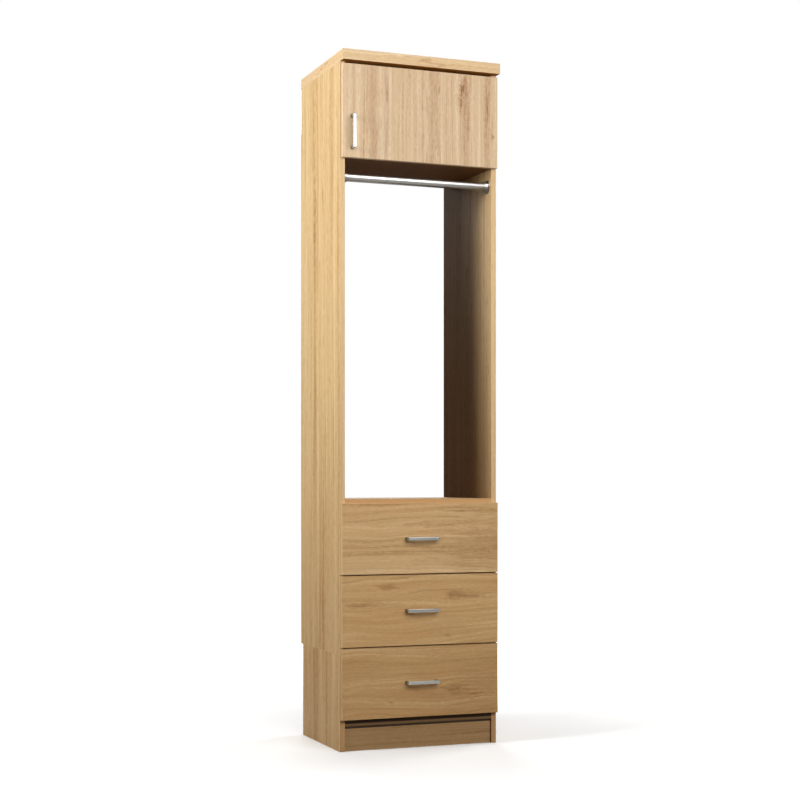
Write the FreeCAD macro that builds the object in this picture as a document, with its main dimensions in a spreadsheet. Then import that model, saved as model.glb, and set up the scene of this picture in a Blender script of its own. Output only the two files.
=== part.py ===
import FreeCAD, Part
import os
import re
import Sketcher

# A chifforobe: a tall, narrow closet tower of light oak boards.
# From the top down it has a thick top, a cabinet behind one door on concealed cup hinges,
# an open bay with a hanging rod, and three drawers on telescopic slides above a toe kick.
#
# Lengths are in millimetres. +X is to the right, +Y to the back and +Z up. The origin is on the
# floor, in the middle of the whole piece's outline as seen from above, handles included.

Vector = FreeCAD.Vector

# Each size is its name, its value and what it measures.
DRIVING_SIZES = (
    ("overall_height", 2134, "floor to the upper face of the top"),
    ("carcass_width", 520, "outer face to outer face of the side panels"),
    ("carcass_depth", 390, "front edge to back edge of the side panels"),
    ("board", 16, "thickness of every carcass board"),
    ("top_thickness", 32, "thickness of the top"),
    ("top_overhang", 32, "how far the top reaches forward of the carcass"),
    ("front_board", 16, "thickness of the door and the drawer fronts"),
    ("front_arris", 1, "bevel round both faces of the door and the drawer fronts"),
    ("kick_height", 77, "floor to the underside of the base board"),
    ("kick_recess", 8, "how far the toe kick lies behind the side panels' front edges"),
    ("skirting_height", 295, "height of the lower side boards"),
    ("skirting_depth", 21, "how far they stop short of the carcass's back, for a skirting"),
    ("wall_notch_height", 147, "height of the shallow notch at the top of each back edge"),
    ("wall_notch_depth", 7, "depth of that notch"),
    ("back_board", 4, "thickness of the back panels"),
    ("back_inset", 24, "side panels' back edge to the outer face of the back panels"),
    ("cabinet_height", 277, "clear height of the upper cabinet"),
    ("rail_height", 80, "height of the wall rail under the top"),
    ("wall_hole_spacing", 320, "between the two fixing holes in the wall rail"),
    ("wall_hole", 6, "diameter of those holes"),
    ("door_standoff", 2, "carcass to the inner face of the door"),
    ("door_reveal", 2.5, "how much narrower the door is than the carcass at each side"),
    ("door_head_gap", 8, "door to the underside of the top"),
    ("door_drop", 1, "how far the door reaches below the cabinet floor"),
    ("drawer_front_height", 218, "height of each drawer front"),
    ("drawer_gap", 3, "between two drawer fronts"),
    ("drawer_foot_gap", 4, "base board to the lowest drawer front"),
    ("drawer_reveal", 1, "how much narrower a drawer front is than the carcass at each side"),
    ("drawer_standoff", 0.5, "carcass to the inner face of the drawer fronts"),
    ("deck_lap", 3, "how far the top drawer front covers the deck board's edge"),
    ("drawer_board", 12, "thickness of the drawer boxes' sides and backs"),
    ("drawer_length", 350, "front to back length of the drawer boxes"),
    ("drawer_side_height", 150, "height of the drawer boxes' sides"),
    ("drawer_side_rise", 12, "lower edge of a drawer front to that of its box"),
    ("drawer_bottom", 4, "thickness of the drawer bottoms"),
    ("groove_rise", 10, "lower edge of a drawer box to the groove for its bottom"),
    ("groove_depth", 6, "depth of that groove"),
    ("slide_space", 12.7, "between a drawer box and the side panel, filled by the slide"),
    ("slide_height", 45, "height of a slide's outer member"),
    ("slide_wall", 1.2, "thickness of the slides' steel"),
    ("slide_step", 3.3, "from one slide member's flange to the next one's"),
    ("slide_rise", 22, "lower edge of a drawer box to that of the slide"),
    ("slide_edge_gap", 1, "between one slide member's web and the open edge of the next"),
    ("slide_length", 350, "length of the slides"),
    ("slide_setback", 2, "carcass's front edges to the slides"),
    ("slide_clearance", 0.4, "between the lip of one slide member and the flange of the next"),
    ("rod_height", 1756, "floor to the hanging rod's axis"),
    ("rod_setback", 33, "carcass's front edges to the hanging rod's axis"),
    ("rod_diameter", 25, "outer diameter of the hanging rod"),
    ("rod_wall", 1.2, "thickness of the rod's tube"),
    ("rod_clearance", 0.3, "between the rod and its sockets"),
    ("flange_diameter", 45, "diameter of a rod flange"),
    ("flange_thickness", 3, "thickness of its plate"),
    ("socket_depth", 16, "length of its socket, plate included"),
    ("socket_wall", 2.2, "thickness of its socket"),
    ("handle_centres", 96, "between the screws of a handle"),
    ("handle_leg", 10, "thickness of a handle's legs"),
    ("handle_width", 11.5, "width of a handle's bar"),
    ("handle_bar", 8, "thickness of a handle's bar"),
    ("handle_reach", 28, "face to the outer side of a handle's bar"),
    ("handle_corner", 2, "radius of a handle's outer corners"),
    ("door_handle_inset", 33, "left outer face of the carcass to the door handle's middle line"),
    ("door_handle_rise", 25, "door's lower edge to the lower end of its handle"),
    ("shelf_groove", 6, "how deep the shelves' ends are let into the sides"),
    ("groove_stop", 12, "carcass's front edges to the grooves for the shelves' ends"),
    ("tongue_thickness", 4, "thickness of the loose tongues between the sides and the top"),
    ("tongue_height", 16, "height of those tongues, half in the side and half in the top"),
    ("tongue_setback", 30, "sides' front and upper back edges to those tongues"),
    ("bore_clearance", 0.2, "between a fastener and its hole, all round"),
    ("hinge_inset", 60, "door's upper and lower edges to the middle of its hinges"),
    ("hinge_axis_inset", 6.5, "door's hinged edge to the hinge pins' axis"),
    ("hinge_axis_depth", 9, "door's inner face to that axis"),
    ("pin_diameter", 2.5, "diameter of the hinge pins"),
    ("pin_clearance", 0.05, "between a hinge pin and its knuckle"),
    ("knuckle_wall", 0.8, "thickness of the knuckle round the pin"),
    ("cup_diameter", 35, "diameter of the bore in the door for a hinge cup"),
    ("cup_depth", 12.5, "depth of that bore"),
    ("cup_edge", 2.5, "door's hinged edge to the bore"),
    ("cup_wall", 0.7, "thickness of the cup's pressed steel"),
    ("ear_thickness", 2.5, "thickness of the cup's two ears, which hold the pin"),
    ("ear_gap", 1, "between an ear and the arm's knuckle"),
    ("ear_reach", 2.5, "how far an ear reaches past the pin's axis"),
    ("cup_plate_width", 18, "width of the plate that spreads from the cup's mouth"),
    ("cup_plate_length", 62, "length of that plate"),
    ("cup_plate_thickness", 1, "thickness of that plate"),
    ("cup_plate_inset", 5, "cup's middle to the plate's edge nearest to the door's edge"),
    ("arm_width", 8, "width of a hinge arm"),
    ("arm_gauge", 1.8, "thickness of a hinge arm"),
    ("arm_drop", 1.6, "outer face of the arm's hooked end to the pin's axis"),
    ("arm_bend", 4, "outer radius of the arm's bend"),
    ("arm_tail", 58, "how far a hinge arm reaches behind the carcass's front edges"),
    ("plate_boss", 9, "height of a hinge plate's boss under the arm"),
    ("plate_boss_width", 12, "width of that boss"),
    ("plate_boss_length", 40, "length of that boss"),
    ("plate_boss_start", 20, "carcass's front edges to that boss"),
    ("plate_wing", 2, "thickness of a hinge plate's wings"),
    ("plate_wing_length", 48, "length of the wings, tip to tip"),
    ("plate_wing_width", 22, "width of the wings"),
    ("plate_screw_spacing", 32, "between a hinge plate's two screws"),
    ("bumper_width", 8, "side of the door's square bumpers"),
    ("bumper_inset", 10, "door's upper and lower edges to the bumpers"),
    ("bumper_gap", 0.3, "bumper to the carcass when the door is shut"),
    ("screw_diameter", 4, "shank diameter of every screw"),
    ("screw_head", 8, "head diameter of every screw"),
    ("screw_head_height", 2, "head height of every screw"),
    ("screw_bite", 8, "how deep the handle screws go into the handle's legs"),
    ("pilot_depth", 13, "depth of the screw holes in the side panels"),
)
DRAWERS = (1, 2, 3)  # from the top down
GUESS_ACROSS = 10  # rough places of a sketch's points, before its constraints move them
GUESS_UP = 7
TOUCH = 0.01  # less than this counts as no distance
SIZE_NAMES = {name for name, value, meaning in DRIVING_SIZES}

document = FreeCAD.newDocument("chifforobe")
sheet = document.addObject("Spreadsheet::Sheet", "Sizes")
for row, (name, value, meaning) in enumerate(DRIVING_SIZES, start=1):
    sheet.set(f"A{row}", str(value))
    sheet.setAlias(f"A{row}", name)
    sheet.set(f"B{row}", meaning)
document.recompute()

# Places worked out from the driving sizes, as formulas.
CARCASS_FRONT = "((door_standoff + front_board + handle_reach - carcass_depth) / 2)"
INNER_WIDTH = "(carcass_width - 2 * board)"
INNER_LEFT = f"(-{INNER_WIDTH} / 2)"
INNER_DEPTH = "(carcass_depth - back_inset - back_board)"
TOP_UNDERSIDE = "(overall_height - top_thickness)"
CABINET_FLOOR = f"({TOP_UNDERSIDE} - cabinet_height - board)"
FRONT_LEG = "(kick_recess + board)"
DRAWER_PITCH = "(drawer_front_height + drawer_gap)"
LOWEST_FRONT = "(kick_height + board + drawer_foot_gap)"
DECK = f"({LOWEST_FRONT} + {len(DRAWERS)} * {DRAWER_PITCH} - drawer_gap - deck_lap)"
DOOR_FOOT = f"({CABINET_FLOOR} - door_drop)"
DOOR_HEIGHT = f"({TOP_UNDERSIDE} - door_head_gap - {DOOR_FOOT})"
DOOR_WIDTH = "(carcass_width - 2 * door_reveal)"
DRAWER_WIDTH = "(carcass_width - 2 * drawer_reveal)"
BOX_WIDTH = f"({INNER_WIDTH} - 2 * slide_space)"
HANDLE_LENGTH = "(handle_centres + handle_leg)"

nodes = []  # the sub-parts, in the order they are made


def formula(text):
    """Write each driving size named in text as a reference to its cell."""
    return re.sub(r"[a-z_]+", lambda word: "Sizes." + word[0] if word[0] in SIZE_NAMES else word[0], text)


def bind(item, **formulas):
    """Bind properties of item to formulas of the driving sizes."""
    for name, text in formulas.items():
        item.setExpression(name, formula(text))


def place(item, x, y, z):
    """Bind the item's position to three formulas."""
    for axis, text in zip("xyz", (x, y, z)):
        item.setExpression(f"Placement.Base.{axis}", formula(text))


def keep(item, label):
    """List item as the sub-part called label."""
    item.Label = label
    nodes.append(item)
    return item


def new_body(label, x, y, z):
    """Start a body whose own origin stands at x, y, z."""
    body = document.addObject("PartDesign::Body", label)
    place(body, x, y, z)
    return body


def new_sketch(body, plane, offset="0"):
    """Start a sketch on one of the body's own origin planes, moved along its normal by offset."""
    sketch = body.newObject("Sketcher::SketchObject", body.Name + "_sketch")
    support = next(item for item in body.Origin.OriginFeatures if item.Role == plane)
    sketch.AttachmentSupport = [(support, "")]
    sketch.MapMode = "FlatFace"
    sketch.setExpression("AttachmentOffset.Base.z", formula(offset))
    return sketch


def dimension(sketch, kind, element, point, text):
    """Hold a point of the sketch at a distance from the sketch's origin along one axis."""
    if text == "0":
        axis = -2 if kind == "DistanceX" else -1
        sketch.addConstraint(Sketcher.Constraint("PointOnObject", element, point, axis))
        return
    number = sketch.addConstraint(Sketcher.Constraint(kind, -1, 1, element, point, 1.0))
    sketch.setExpression(f"Constraints[{number}]", formula(text))


def add_outline(sketch, corners):
    """Draw a closed outline through corners, each a pair of formulas, going round once."""
    count = len(corners)
    starts = [Vector(GUESS_ACROSS * index, GUESS_UP * index * index, 0) for index in range(count)]
    for index in range(count):
        sketch.addGeometry(Part.LineSegment(starts[index], starts[(index + 1) % count]), False)
    for index in range(count):
        sketch.addConstraint(Sketcher.Constraint("Coincident", index, 2, (index + 1) % count, 1))
    for index, (across, up) in enumerate(corners):
        dimension(sketch, "DistanceX", index, 1, across)
        dimension(sketch, "DistanceY", index, 1, up)


def rectangle(wide, high):
    """The corners of a rectangle that starts at the sketch's origin."""
    return [("0", "0"), (wide, "0"), (wide, high), ("0", high)]


def add_circles(sketch, centres, diameter):
    """Draw equal circles at centres, each a pair of formulas."""
    for index, (across, up) in enumerate(centres):
        centre = Vector(GUESS_ACROSS * index, GUESS_UP, 0)
        sketch.addGeometry(Part.Circle(centre, Vector(0, 0, 1), 1.0), False)
        dimension(sketch, "DistanceX", index, 3, across)
        dimension(sketch, "DistanceY", index, 3, up)
        number = sketch.addConstraint(Sketcher.Constraint("Diameter", index, 1.0))
        sketch.setExpression(f"Constraints[{number}]", formula(diameter))


def pad(body, sketch, length, reverse=False):
    """Extrude the sketch along its normal, or against it."""
    feature = body.newObject("PartDesign::Pad", body.Name + "_pad")
    feature.Profile = sketch
    feature.Reversed = reverse
    bind(feature, Length=length)
    return feature


def pocket(body, sketch, depth, along_normal=False):
    """Cut the sketch into the body, against its normal unless along_normal is set."""
    feature = body.newObject("PartDesign::Pocket", body.Name + "_pocket")
    feature.Profile = sketch
    feature.Reversed = along_normal
    bind(feature, Length=depth)
    return feature


def drill(body, plane, offset, centres, diameter, depth, along_normal=False):
    """Drill equal round holes from a plane of the body."""
    sketch = new_sketch(body, plane, offset)
    add_circles(sketch, centres, diameter)
    return pocket(body, sketch, depth, along_normal)


def board_lying(label, wide, deep, thick, x, y, z):
    """A board that lies flat, its own origin at its front left lower corner."""
    body = new_body(label, x, y, z)
    sketch = new_sketch(body, "XY_Plane")
    add_outline(sketch, rectangle(wide, deep))
    pad(body, sketch, thick)
    return keep(body, label)


def board_facing(label, wide, high, thick, x, y, z):
    """A board that stands facing the front, its own origin at its front left lower corner."""
    body = new_body(label, x, y, z)
    sketch = new_sketch(body, "XZ_Plane")
    add_outline(sketch, rectangle(wide, high))
    pad(body, sketch, thick, reverse=True)
    return keep(body, label)


def board_sideways(label, corners, thick, x, y, z):
    """A board that stands facing sideways, with its outline given as pairs of depth and height."""
    body = new_body(label, x, y, z)
    sketch = new_sketch(body, "YZ_Plane")
    add_outline(sketch, corners)
    pad(body, sketch, thick)
    return keep(body, label)


def cylinder_along(axis, diameter, length, x, y, z):
    """A plain cylinder that starts at x, y, z and runs along +X, +Y or +Z."""
    turns = {
        "x": FreeCAD.Rotation(Vector(0, 1, 0), 90),
        "y": FreeCAD.Rotation(Vector(1, 0, 0), -90),
        "z": FreeCAD.Rotation(),
    }
    item = document.addObject("Part::Cylinder", "cylinder")
    item.Placement = FreeCAD.Placement(Vector(), turns[axis])
    bind(item, Radius=f"{diameter} / 2", Height=length)
    place(item, x, y, z)
    return item


def box(wide, deep, high, x, y, z):
    """A plain box that starts at x, y, z."""
    item = document.addObject("Part::Box", "box")
    bind(item, Length=wide, Width=deep, Height=high)
    place(item, x, y, z)
    return item


def fused(items):
    """Several shapes joined into one solid."""
    item = document.addObject("Part::MultiFuse", "fused")
    item.Shapes = items
    return item


def screw(direction, length, x, y, z):
    """A screw that runs in direction, such as "-y", with the underside of its head at x, y, z."""
    sign, axis = direction
    head_start = [x, y, z]
    shank_start = [x, y, z]
    along = "xyz".index(axis)
    if sign == "+":
        head_start[along] = f"({head_start[along]} - screw_head_height)"
    else:
        shank_start[along] = f"({shank_start[along]} - {length})"
    head = cylinder_along(axis, "screw_head", "screw_head_height", *head_start)
    shank = cylinder_along(axis, "screw_diameter", length, *shank_start)
    return fused([head, shank])


def shared(items):
    """What several shapes have in common."""
    item = document.addObject("Part::MultiCommon", "shared")
    item.Shapes = items
    return item


def cut(base, tool):
    """One shape with another taken out of it."""
    item = document.addObject("Part::Cut", "cut")
    item.Base = base
    item.Tool = tool
    return item


def group(label, items):
    """Several like pieces kept as one sub-part of separate solids."""
    compound = document.addObject("Part::Compound", label)
    compound.Links = items
    return keep(compound, label)


def mirrored_pair(label, left):
    """The left piece and its mirror image on the right."""
    right = document.addObject("Part::Mirroring", label + "_right")
    right.Source = left
    right.Normal = Vector(1, 0, 0)
    return group(label, [left, right])


# --------------------------------------------------------------------------------------------
# Fastening places, shared by the pieces that are drilled and the fasteners that fill the holes
# --------------------------------------------------------------------------------------------

TONGUE_LENGTH = "(carcass_depth - wall_notch_depth - 2 * tongue_setback)"
SCREW_BORE = "(screw_diameter + 2 * bore_clearance)"
HINGE_X = "(carcass_width / 2 - door_reveal - hinge_axis_inset)"
HINGE_Y = f"({CARCASS_FRONT} - door_standoff - hinge_axis_depth)"
HINGE_LEVELS = (f"({DOOR_FOOT} + hinge_inset)", f"({DOOR_FOOT} + {DOOR_HEIGHT} - hinge_inset)")
CUP_X = "(carcass_width / 2 - door_reveal - cup_edge - cup_diameter / 2)"
PIN_LENGTH = "(arm_width + 2 * ear_gap + 2 * ear_thickness)"
PLATE_MIDDLE = f"({CARCASS_FRONT} + plate_boss_start + plate_boss_length / 2)"


def plate_screw_places():
    """Depth and height of the hinge plates' screws."""
    depth = "(plate_boss_start + plate_boss_length / 2)"
    return [(depth, f"({level} {sign} plate_screw_spacing / 2)")
            for level in HINGE_LEVELS for sign in "-+"]


# --------------------------------------------------------------------------------------------
# Carcass
# --------------------------------------------------------------------------------------------

def shelf_groove(body, left, start, end, level):
    """Groove across a side's inner face, from one depth to another, for the end of a shelf."""
    sketch = new_sketch(body, "YZ_Plane", "board" if left else "0")
    over = f"({level} + board)"
    add_outline(sketch, [(start, level), (end, level), (end, over), (start, over)])
    return pocket(body, sketch, "shelf_groove", along_normal=not left)


def tongue_groove(body, level, side_x, side_y, along_normal):
    """Groove for the loose tongue of a side panel whose front outer corner is at side_x, side_y."""
    sketch = new_sketch(body, "XY_Plane", level)
    near = f"({side_x} + (board - tongue_thickness) / 2)"
    far = f"({side_x} + (board + tongue_thickness) / 2)"
    start = f"({side_y} + tongue_setback)"
    end = f"({side_y} + tongue_setback + {TONGUE_LENGTH})"
    add_outline(sketch, [(near, start), (far, start), (far, end), (near, end)])
    return pocket(body, sketch, "tongue_height / 2", along_normal)


def side_panel(hand):
    """Full-height side with a front leg down to the floor and a shallow notch at its upper back."""
    left = hand == "left"
    outline = [
        ("0", "0"),
        (FRONT_LEG, "0"),
        (FRONT_LEG, "skirting_height"),
        ("carcass_depth", "skirting_height"),
        ("carcass_depth", f"({TOP_UNDERSIDE} - wall_notch_height)"),
        ("(carcass_depth - wall_notch_depth)", f"({TOP_UNDERSIDE} - wall_notch_height)"),
        ("(carcass_depth - wall_notch_depth)", TOP_UNDERSIDE),
        ("0", TOP_UNDERSIDE),
    ]
    x = "(-carcass_width / 2)" if left else "(carcass_width / 2 - board)"
    body = board_sideways(f"side_panel_{hand}", outline, "board", x, CARCASS_FRONT, "0")
    shelf_groove(body, left, "groove_stop", FRONT_LEG, "kick_height")
    for level in (DECK, CABINET_FLOOR):
        shelf_groove(body, left, "groove_stop", INNER_DEPTH, level)
    screws = [("rod_setback", "rod_height")]
    if not left:
        screws += plate_screw_places()
    drill(body, "YZ_Plane", "board" if left else "0", screws, SCREW_BORE, "pilot_depth",
          along_normal=not left)
    tongue_groove(body, TOP_UNDERSIDE, "0", "0", along_normal=False)
    return body


def side_base(hand):
    """Lower side board that fills in behind the front leg and stops short of the skirting."""
    left = hand == "left"
    deep = f"(carcass_depth - skirting_depth - {FRONT_LEG})"
    x = "(-carcass_width / 2)" if left else "(carcass_width / 2 - board)"
    y = f"({CARCASS_FRONT} + {FRONT_LEG})"
    body = board_sideways(f"side_base_{hand}", rectangle(deep, "skirting_height"), "board", x, y, "0")
    shelf_groove(body, left, "0", f"({INNER_DEPTH} - {FRONT_LEG})", "kick_height")
    return body


def top_panel():
    """Thick top that stands on the sides and overhangs the door."""
    y = f"({CARCASS_FRONT} - top_overhang)"
    body = board_lying("top_panel", "carcass_width", "(carcass_depth + top_overhang)", "top_thickness",
                       "(-carcass_width / 2)", y, TOP_UNDERSIDE)
    for side_x in ("0", "(carcass_width - board)"):
        tongue_groove(body, "0", side_x, "top_overhang", along_normal=True)
    return body


def shelf(label, level):
    """Board whose ends are let into the sides, with its front corners notched to hide the grooves."""
    body = new_body(label, INNER_LEFT, CARCASS_FRONT, level)
    left_end = "(0 - shelf_groove)"
    right_end = f"({INNER_WIDTH} + shelf_groove)"
    outline = [
        ("0", "0"),
        (INNER_WIDTH, "0"),
        (INNER_WIDTH, "groove_stop"),
        (right_end, "groove_stop"),
        (right_end, INNER_DEPTH),
        (left_end, INNER_DEPTH),
        (left_end, "groove_stop"),
        ("0", "groove_stop"),
    ]
    sketch = new_sketch(body, "XY_Plane")
    add_outline(sketch, outline)
    pad(body, sketch, "board")
    return keep(body, label)


def wall_rail():
    """Rail under the top at the back of the cabinet, with two holes for fixing it to a wall."""
    y = f"({CARCASS_FRONT} + {INNER_DEPTH} - board)"
    body = board_facing("wall_rail", INNER_WIDTH, "rail_height", "board", INNER_LEFT, y,
                        f"({TOP_UNDERSIDE} - rail_height)")
    holes = [(f"({INNER_WIDTH} / 2 {sign} wall_hole_spacing / 2)", "rail_height / 2") for sign in "-+"]
    drill(body, "XZ_Plane", "0", holes, "wall_hole", "board", along_normal=False)
    return body


def cabinet_back():
    """Thin back of the upper cabinet, open at the wall rail's two holes."""
    y = f"({CARCASS_FRONT} + {INNER_DEPTH})"
    high = f"({TOP_UNDERSIDE} - {CABINET_FLOOR})"
    body = board_facing("cabinet_back", INNER_WIDTH, high, "back_board", INNER_LEFT, y, CABINET_FLOOR)
    holes = [(f"({INNER_WIDTH} / 2 {sign} wall_hole_spacing / 2)", f"({high} - rail_height / 2)")
             for sign in "-+"]
    drill(body, "XZ_Plane", "0", holes, "wall_hole", "back_board", along_normal=False)
    return body


def drawer_back():
    """Thin back behind the drawers, from the base board's underside to the deck's upper face."""
    y = f"({CARCASS_FRONT} + {INNER_DEPTH})"
    return board_facing("drawer_back", INNER_WIDTH, f"({DECK} + board - kick_height)", "back_board",
                        INNER_LEFT, y, "kick_height")


def toe_kick():
    """Recessed board between the side panels' front legs."""
    return board_facing("toe_kick", INNER_WIDTH, "kick_height", "board", INNER_LEFT,
                        f"({CARCASS_FRONT} + kick_recess)", "0")


def top_tongues():
    """Loose wooden tongues between the side panels and the top."""
    x = "(-carcass_width / 2 + (board - tongue_thickness) / 2)"
    left = box("tongue_thickness", TONGUE_LENGTH, "tongue_height", x, f"({CARCASS_FRONT} + tongue_setback)",
               f"({TOP_UNDERSIDE} - tongue_height / 2)")
    return mirrored_pair("top_tongues", left)


# --------------------------------------------------------------------------------------------
# Hanging rod
# --------------------------------------------------------------------------------------------

ROD_BORE = "(rod_diameter + 2 * rod_clearance)"


def hanging_rod():
    """Tube between the two flanges' plates."""
    reach = f"({INNER_WIDTH} / 2 - flange_thickness - rod_clearance)"
    body = new_body("hanging_rod", f"(0 - {reach})", f"({CARCASS_FRONT} + rod_setback)", "rod_height")
    sketch = new_sketch(body, "YZ_Plane")
    add_circles(sketch, [("0", "0")], "rod_diameter")
    pad(body, sketch, f"(2 * {reach})")
    drill(body, "YZ_Plane", "0", [("0", "0")], "(rod_diameter - 2 * rod_wall)", f"(2 * {reach})",
          along_normal=True)
    return keep(body, "hanging_rod")


def rod_flanges():
    """Round plates with a socket for the rod and a screw hole in its floor, one on each side."""
    left = new_body("rod_flange", INNER_LEFT, f"({CARCASS_FRONT} + rod_setback)", "rod_height")
    plate = new_sketch(left, "YZ_Plane")
    add_circles(plate, [("0", "0")], "flange_diameter")
    pad(left, plate, "flange_thickness")
    socket = new_sketch(left, "YZ_Plane")
    add_circles(socket, [("0", "0")], f"({ROD_BORE} + 2 * socket_wall)")
    pad(left, socket, "socket_depth")
    drill(left, "YZ_Plane", "socket_depth", [("0", "0")], ROD_BORE, "(socket_depth - flange_thickness)")
    drill(left, "YZ_Plane", "0", [("0", "0")], SCREW_BORE, "flange_thickness", along_normal=True)
    return mirrored_pair("rod_flanges", left)


def flange_screws():
    """Wood screws in the sockets' floors, with their heads inside the rod's ends."""
    seat = f"(0 - {INNER_WIDTH} / 2 + flange_thickness)"
    left = screw("-x", "(flange_thickness + pilot_depth - bore_clearance)", seat,
                 f"({CARCASS_FRONT} + rod_setback)", "rod_height")
    return mirrored_pair("flange_screws", left)


# --------------------------------------------------------------------------------------------
# Door and drawer fronts, and their handles
# --------------------------------------------------------------------------------------------

def bevel_faces(body):
    """Bevel the four edges of a front's outer face and of its inner face."""
    document.recompute()
    plain = body.Tip
    names = [f"Edge{number}" for number, edge in enumerate(plain.Shape.Edges, start=1)
             if edge.BoundBox.YLength < TOUCH]
    bevel = body.newObject("PartDesign::Chamfer", body.Name + "_bevel")
    bevel.Base = (plain, names)
    bind(bevel, Size="front_arris")
    return bevel


def handle_screw_places(centre_across, centre_up, upright):
    """The two screw places of a handle, from its middle, on a front seen from outside."""
    half = "handle_centres / 2"
    if upright:
        return [(centre_across, f"({centre_up} {sign} {half})") for sign in "-+"]
    return [(f"({centre_across} {sign} {half})", centre_up) for sign in "-+"]


def front(label, wide, high, x, y, z, handle_across, handle_up, upright):
    """Door or drawer front with a bevelled face and two holes for its handle's screws."""
    body = board_facing(label, wide, high, "front_board", x, y, z)
    bevel_faces(body)
    places = handle_screw_places(handle_across, handle_up, upright)
    drill(body, "XZ_Plane", "0", places, SCREW_BORE, "front_board", along_normal=False)
    return body


def handle(label, x, y, z, upright):
    """Flat bar bent square at both ends, with a screw hole up each leg.

    Its own origin is the corner where the bar's outer face starts, lowest and furthest left.
    """
    body = new_body(label, x, y, z)
    outline = [
        ("0", "0"),
        (HANDLE_LENGTH, "0"),
        (HANDLE_LENGTH, "handle_reach"),
        (f"({HANDLE_LENGTH} - handle_leg)", "handle_reach"),
        (f"({HANDLE_LENGTH} - handle_leg)", "handle_bar"),
        ("handle_leg", "handle_bar"),
        ("handle_leg", "handle_reach"),
        ("0", "handle_reach"),
    ]
    if upright:
        outline = [(reach, along) for along, reach in outline]
    sketch = new_sketch(body, "YZ_Plane" if upright else "XY_Plane")
    add_outline(sketch, outline)
    pad(body, sketch, "handle_width")
    round_outer_corners(body, upright)
    ends = ("handle_leg / 2", f"({HANDLE_LENGTH} - handle_leg / 2)")
    places = [("handle_width / 2", end) if upright else (end, "handle_width / 2") for end in ends]
    drill(body, "XZ_Plane", "(0 - handle_reach)", places, SCREW_BORE, "(screw_bite + bore_clearance)",
          along_normal=True)
    return keep(body, label)


def round_outer_corners(body, upright):
    """Round the handle's two outer bends."""
    document.recompute()
    plain = body.Tip
    shape = plain.Shape
    bends = []
    for number, edge in enumerate(shape.Edges, start=1):
        across = edge.BoundBox.XLength if upright else edge.BoundBox.ZLength
        if edge.BoundBox.YMax < shape.BoundBox.YMin + TOUCH and across > edge.Length - TOUCH:
            bends.append(f"Edge{number}")
    fillet = body.newObject("PartDesign::Fillet", body.Name + "_bends")
    fillet.Base = (plain, bends)
    bind(fillet, Radius="handle_corner")
    return fillet


def front_screws(label, x_places, y, z_places):
    """Two screws from inside a front into its handle; y is the front's inner face."""
    shank = "(front_board + screw_bite)"
    return group(label, [screw("-y", shank, x, y, z) for x, z in zip(x_places, z_places)])


def door():
    """Door, its handle and screws, and its bumpers."""
    inner_face = f"({CARCASS_FRONT} - door_standoff)"
    outer_face = f"({inner_face} - front_board)"
    across = "(door_handle_inset - door_reveal)"
    middle = f"(door_handle_rise + {HANDLE_LENGTH} / 2)"
    panel = front("door_panel", DOOR_WIDTH, DOOR_HEIGHT, f"(0 - {DOOR_WIDTH} / 2)", outer_face, DOOR_FOOT,
                  across, middle, upright=True)
    handle("door_handle", "(door_handle_inset - carcass_width / 2 - handle_width / 2)",
           f"({outer_face} - handle_reach)", f"({DOOR_FOOT} + door_handle_rise)", upright=True)
    x = "(door_handle_inset - carcass_width / 2)"
    bores = [(f"({CUP_X} + {DOOR_WIDTH} / 2)", f"({level} - {DOOR_FOOT})") for level in HINGE_LEVELS]
    drill(panel, "XZ_Plane", "(0 - front_board)", bores, "cup_diameter", "cup_depth", along_normal=True)
    levels = [f"({DOOR_FOOT} + {middle} {sign} handle_centres / 2)" for sign in "-+"]
    front_screws("door_handle_screws", (x, x), inner_face, levels)
    bumper_x = "((board + door_reveal) / 2 - carcass_width / 2 - bumper_width / 2)"
    thick = "(door_standoff - bumper_gap)"
    levels = (f"({DOOR_FOOT} + bumper_inset)", f"({DOOR_FOOT} + {DOOR_HEIGHT} - bumper_inset - bumper_width)")
    group("door_bumpers", [box("bumper_width", thick, "bumper_width", bumper_x, inner_face, level)
                           for level in levels])
    return panel


def drawer(number):
    """One drawer: front, handle and screws, two sides, back and bottom."""
    foot = f"({LOWEST_FRONT} + {len(DRAWERS) - number} * {DRAWER_PITCH})"
    inner_face = f"({CARCASS_FRONT} - drawer_standoff)"
    outer_face = f"({inner_face} - front_board)"
    front(f"drawer_front_{number}", DRAWER_WIDTH, "drawer_front_height", f"(0 - {DRAWER_WIDTH} / 2)",
          outer_face, foot, f"({DRAWER_WIDTH} / 2)", "(drawer_front_height / 2)", upright=False)
    middle = f"({foot} + drawer_front_height / 2)"
    handle(f"drawer_handle_{number}", f"(0 - {HANDLE_LENGTH} / 2)", f"({outer_face} - handle_reach)",
           f"({middle} - handle_width / 2)", upright=False)
    front_screws(f"drawer_handle_screws_{number}", ("(0 - handle_centres / 2)", "(handle_centres / 2)"),
                 inner_face, (middle, middle))
    box_foot = f"({foot} + drawer_side_rise)"
    for hand in ("left", "right"):
        drawer_side(number, hand, inner_face, box_foot)
    over_bottom = f"({box_foot} + groove_rise + drawer_bottom)"
    inner_wide = f"({BOX_WIDTH} - 2 * drawer_board)"
    board_facing(f"drawer_back_{number}", inner_wide,
                 "(drawer_side_height - groove_rise - drawer_bottom)", "drawer_board",
                 f"(0 - {inner_wide} / 2)", f"({inner_face} + drawer_length - drawer_board)", over_bottom)
    wide = f"({inner_wide} + 2 * groove_depth - 2 * bore_clearance)"
    board_lying(f"drawer_bottom_{number}", wide, "drawer_length", "drawer_bottom", f"(0 - {wide} / 2)",
                inner_face, f"({box_foot} + groove_rise)")


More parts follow.
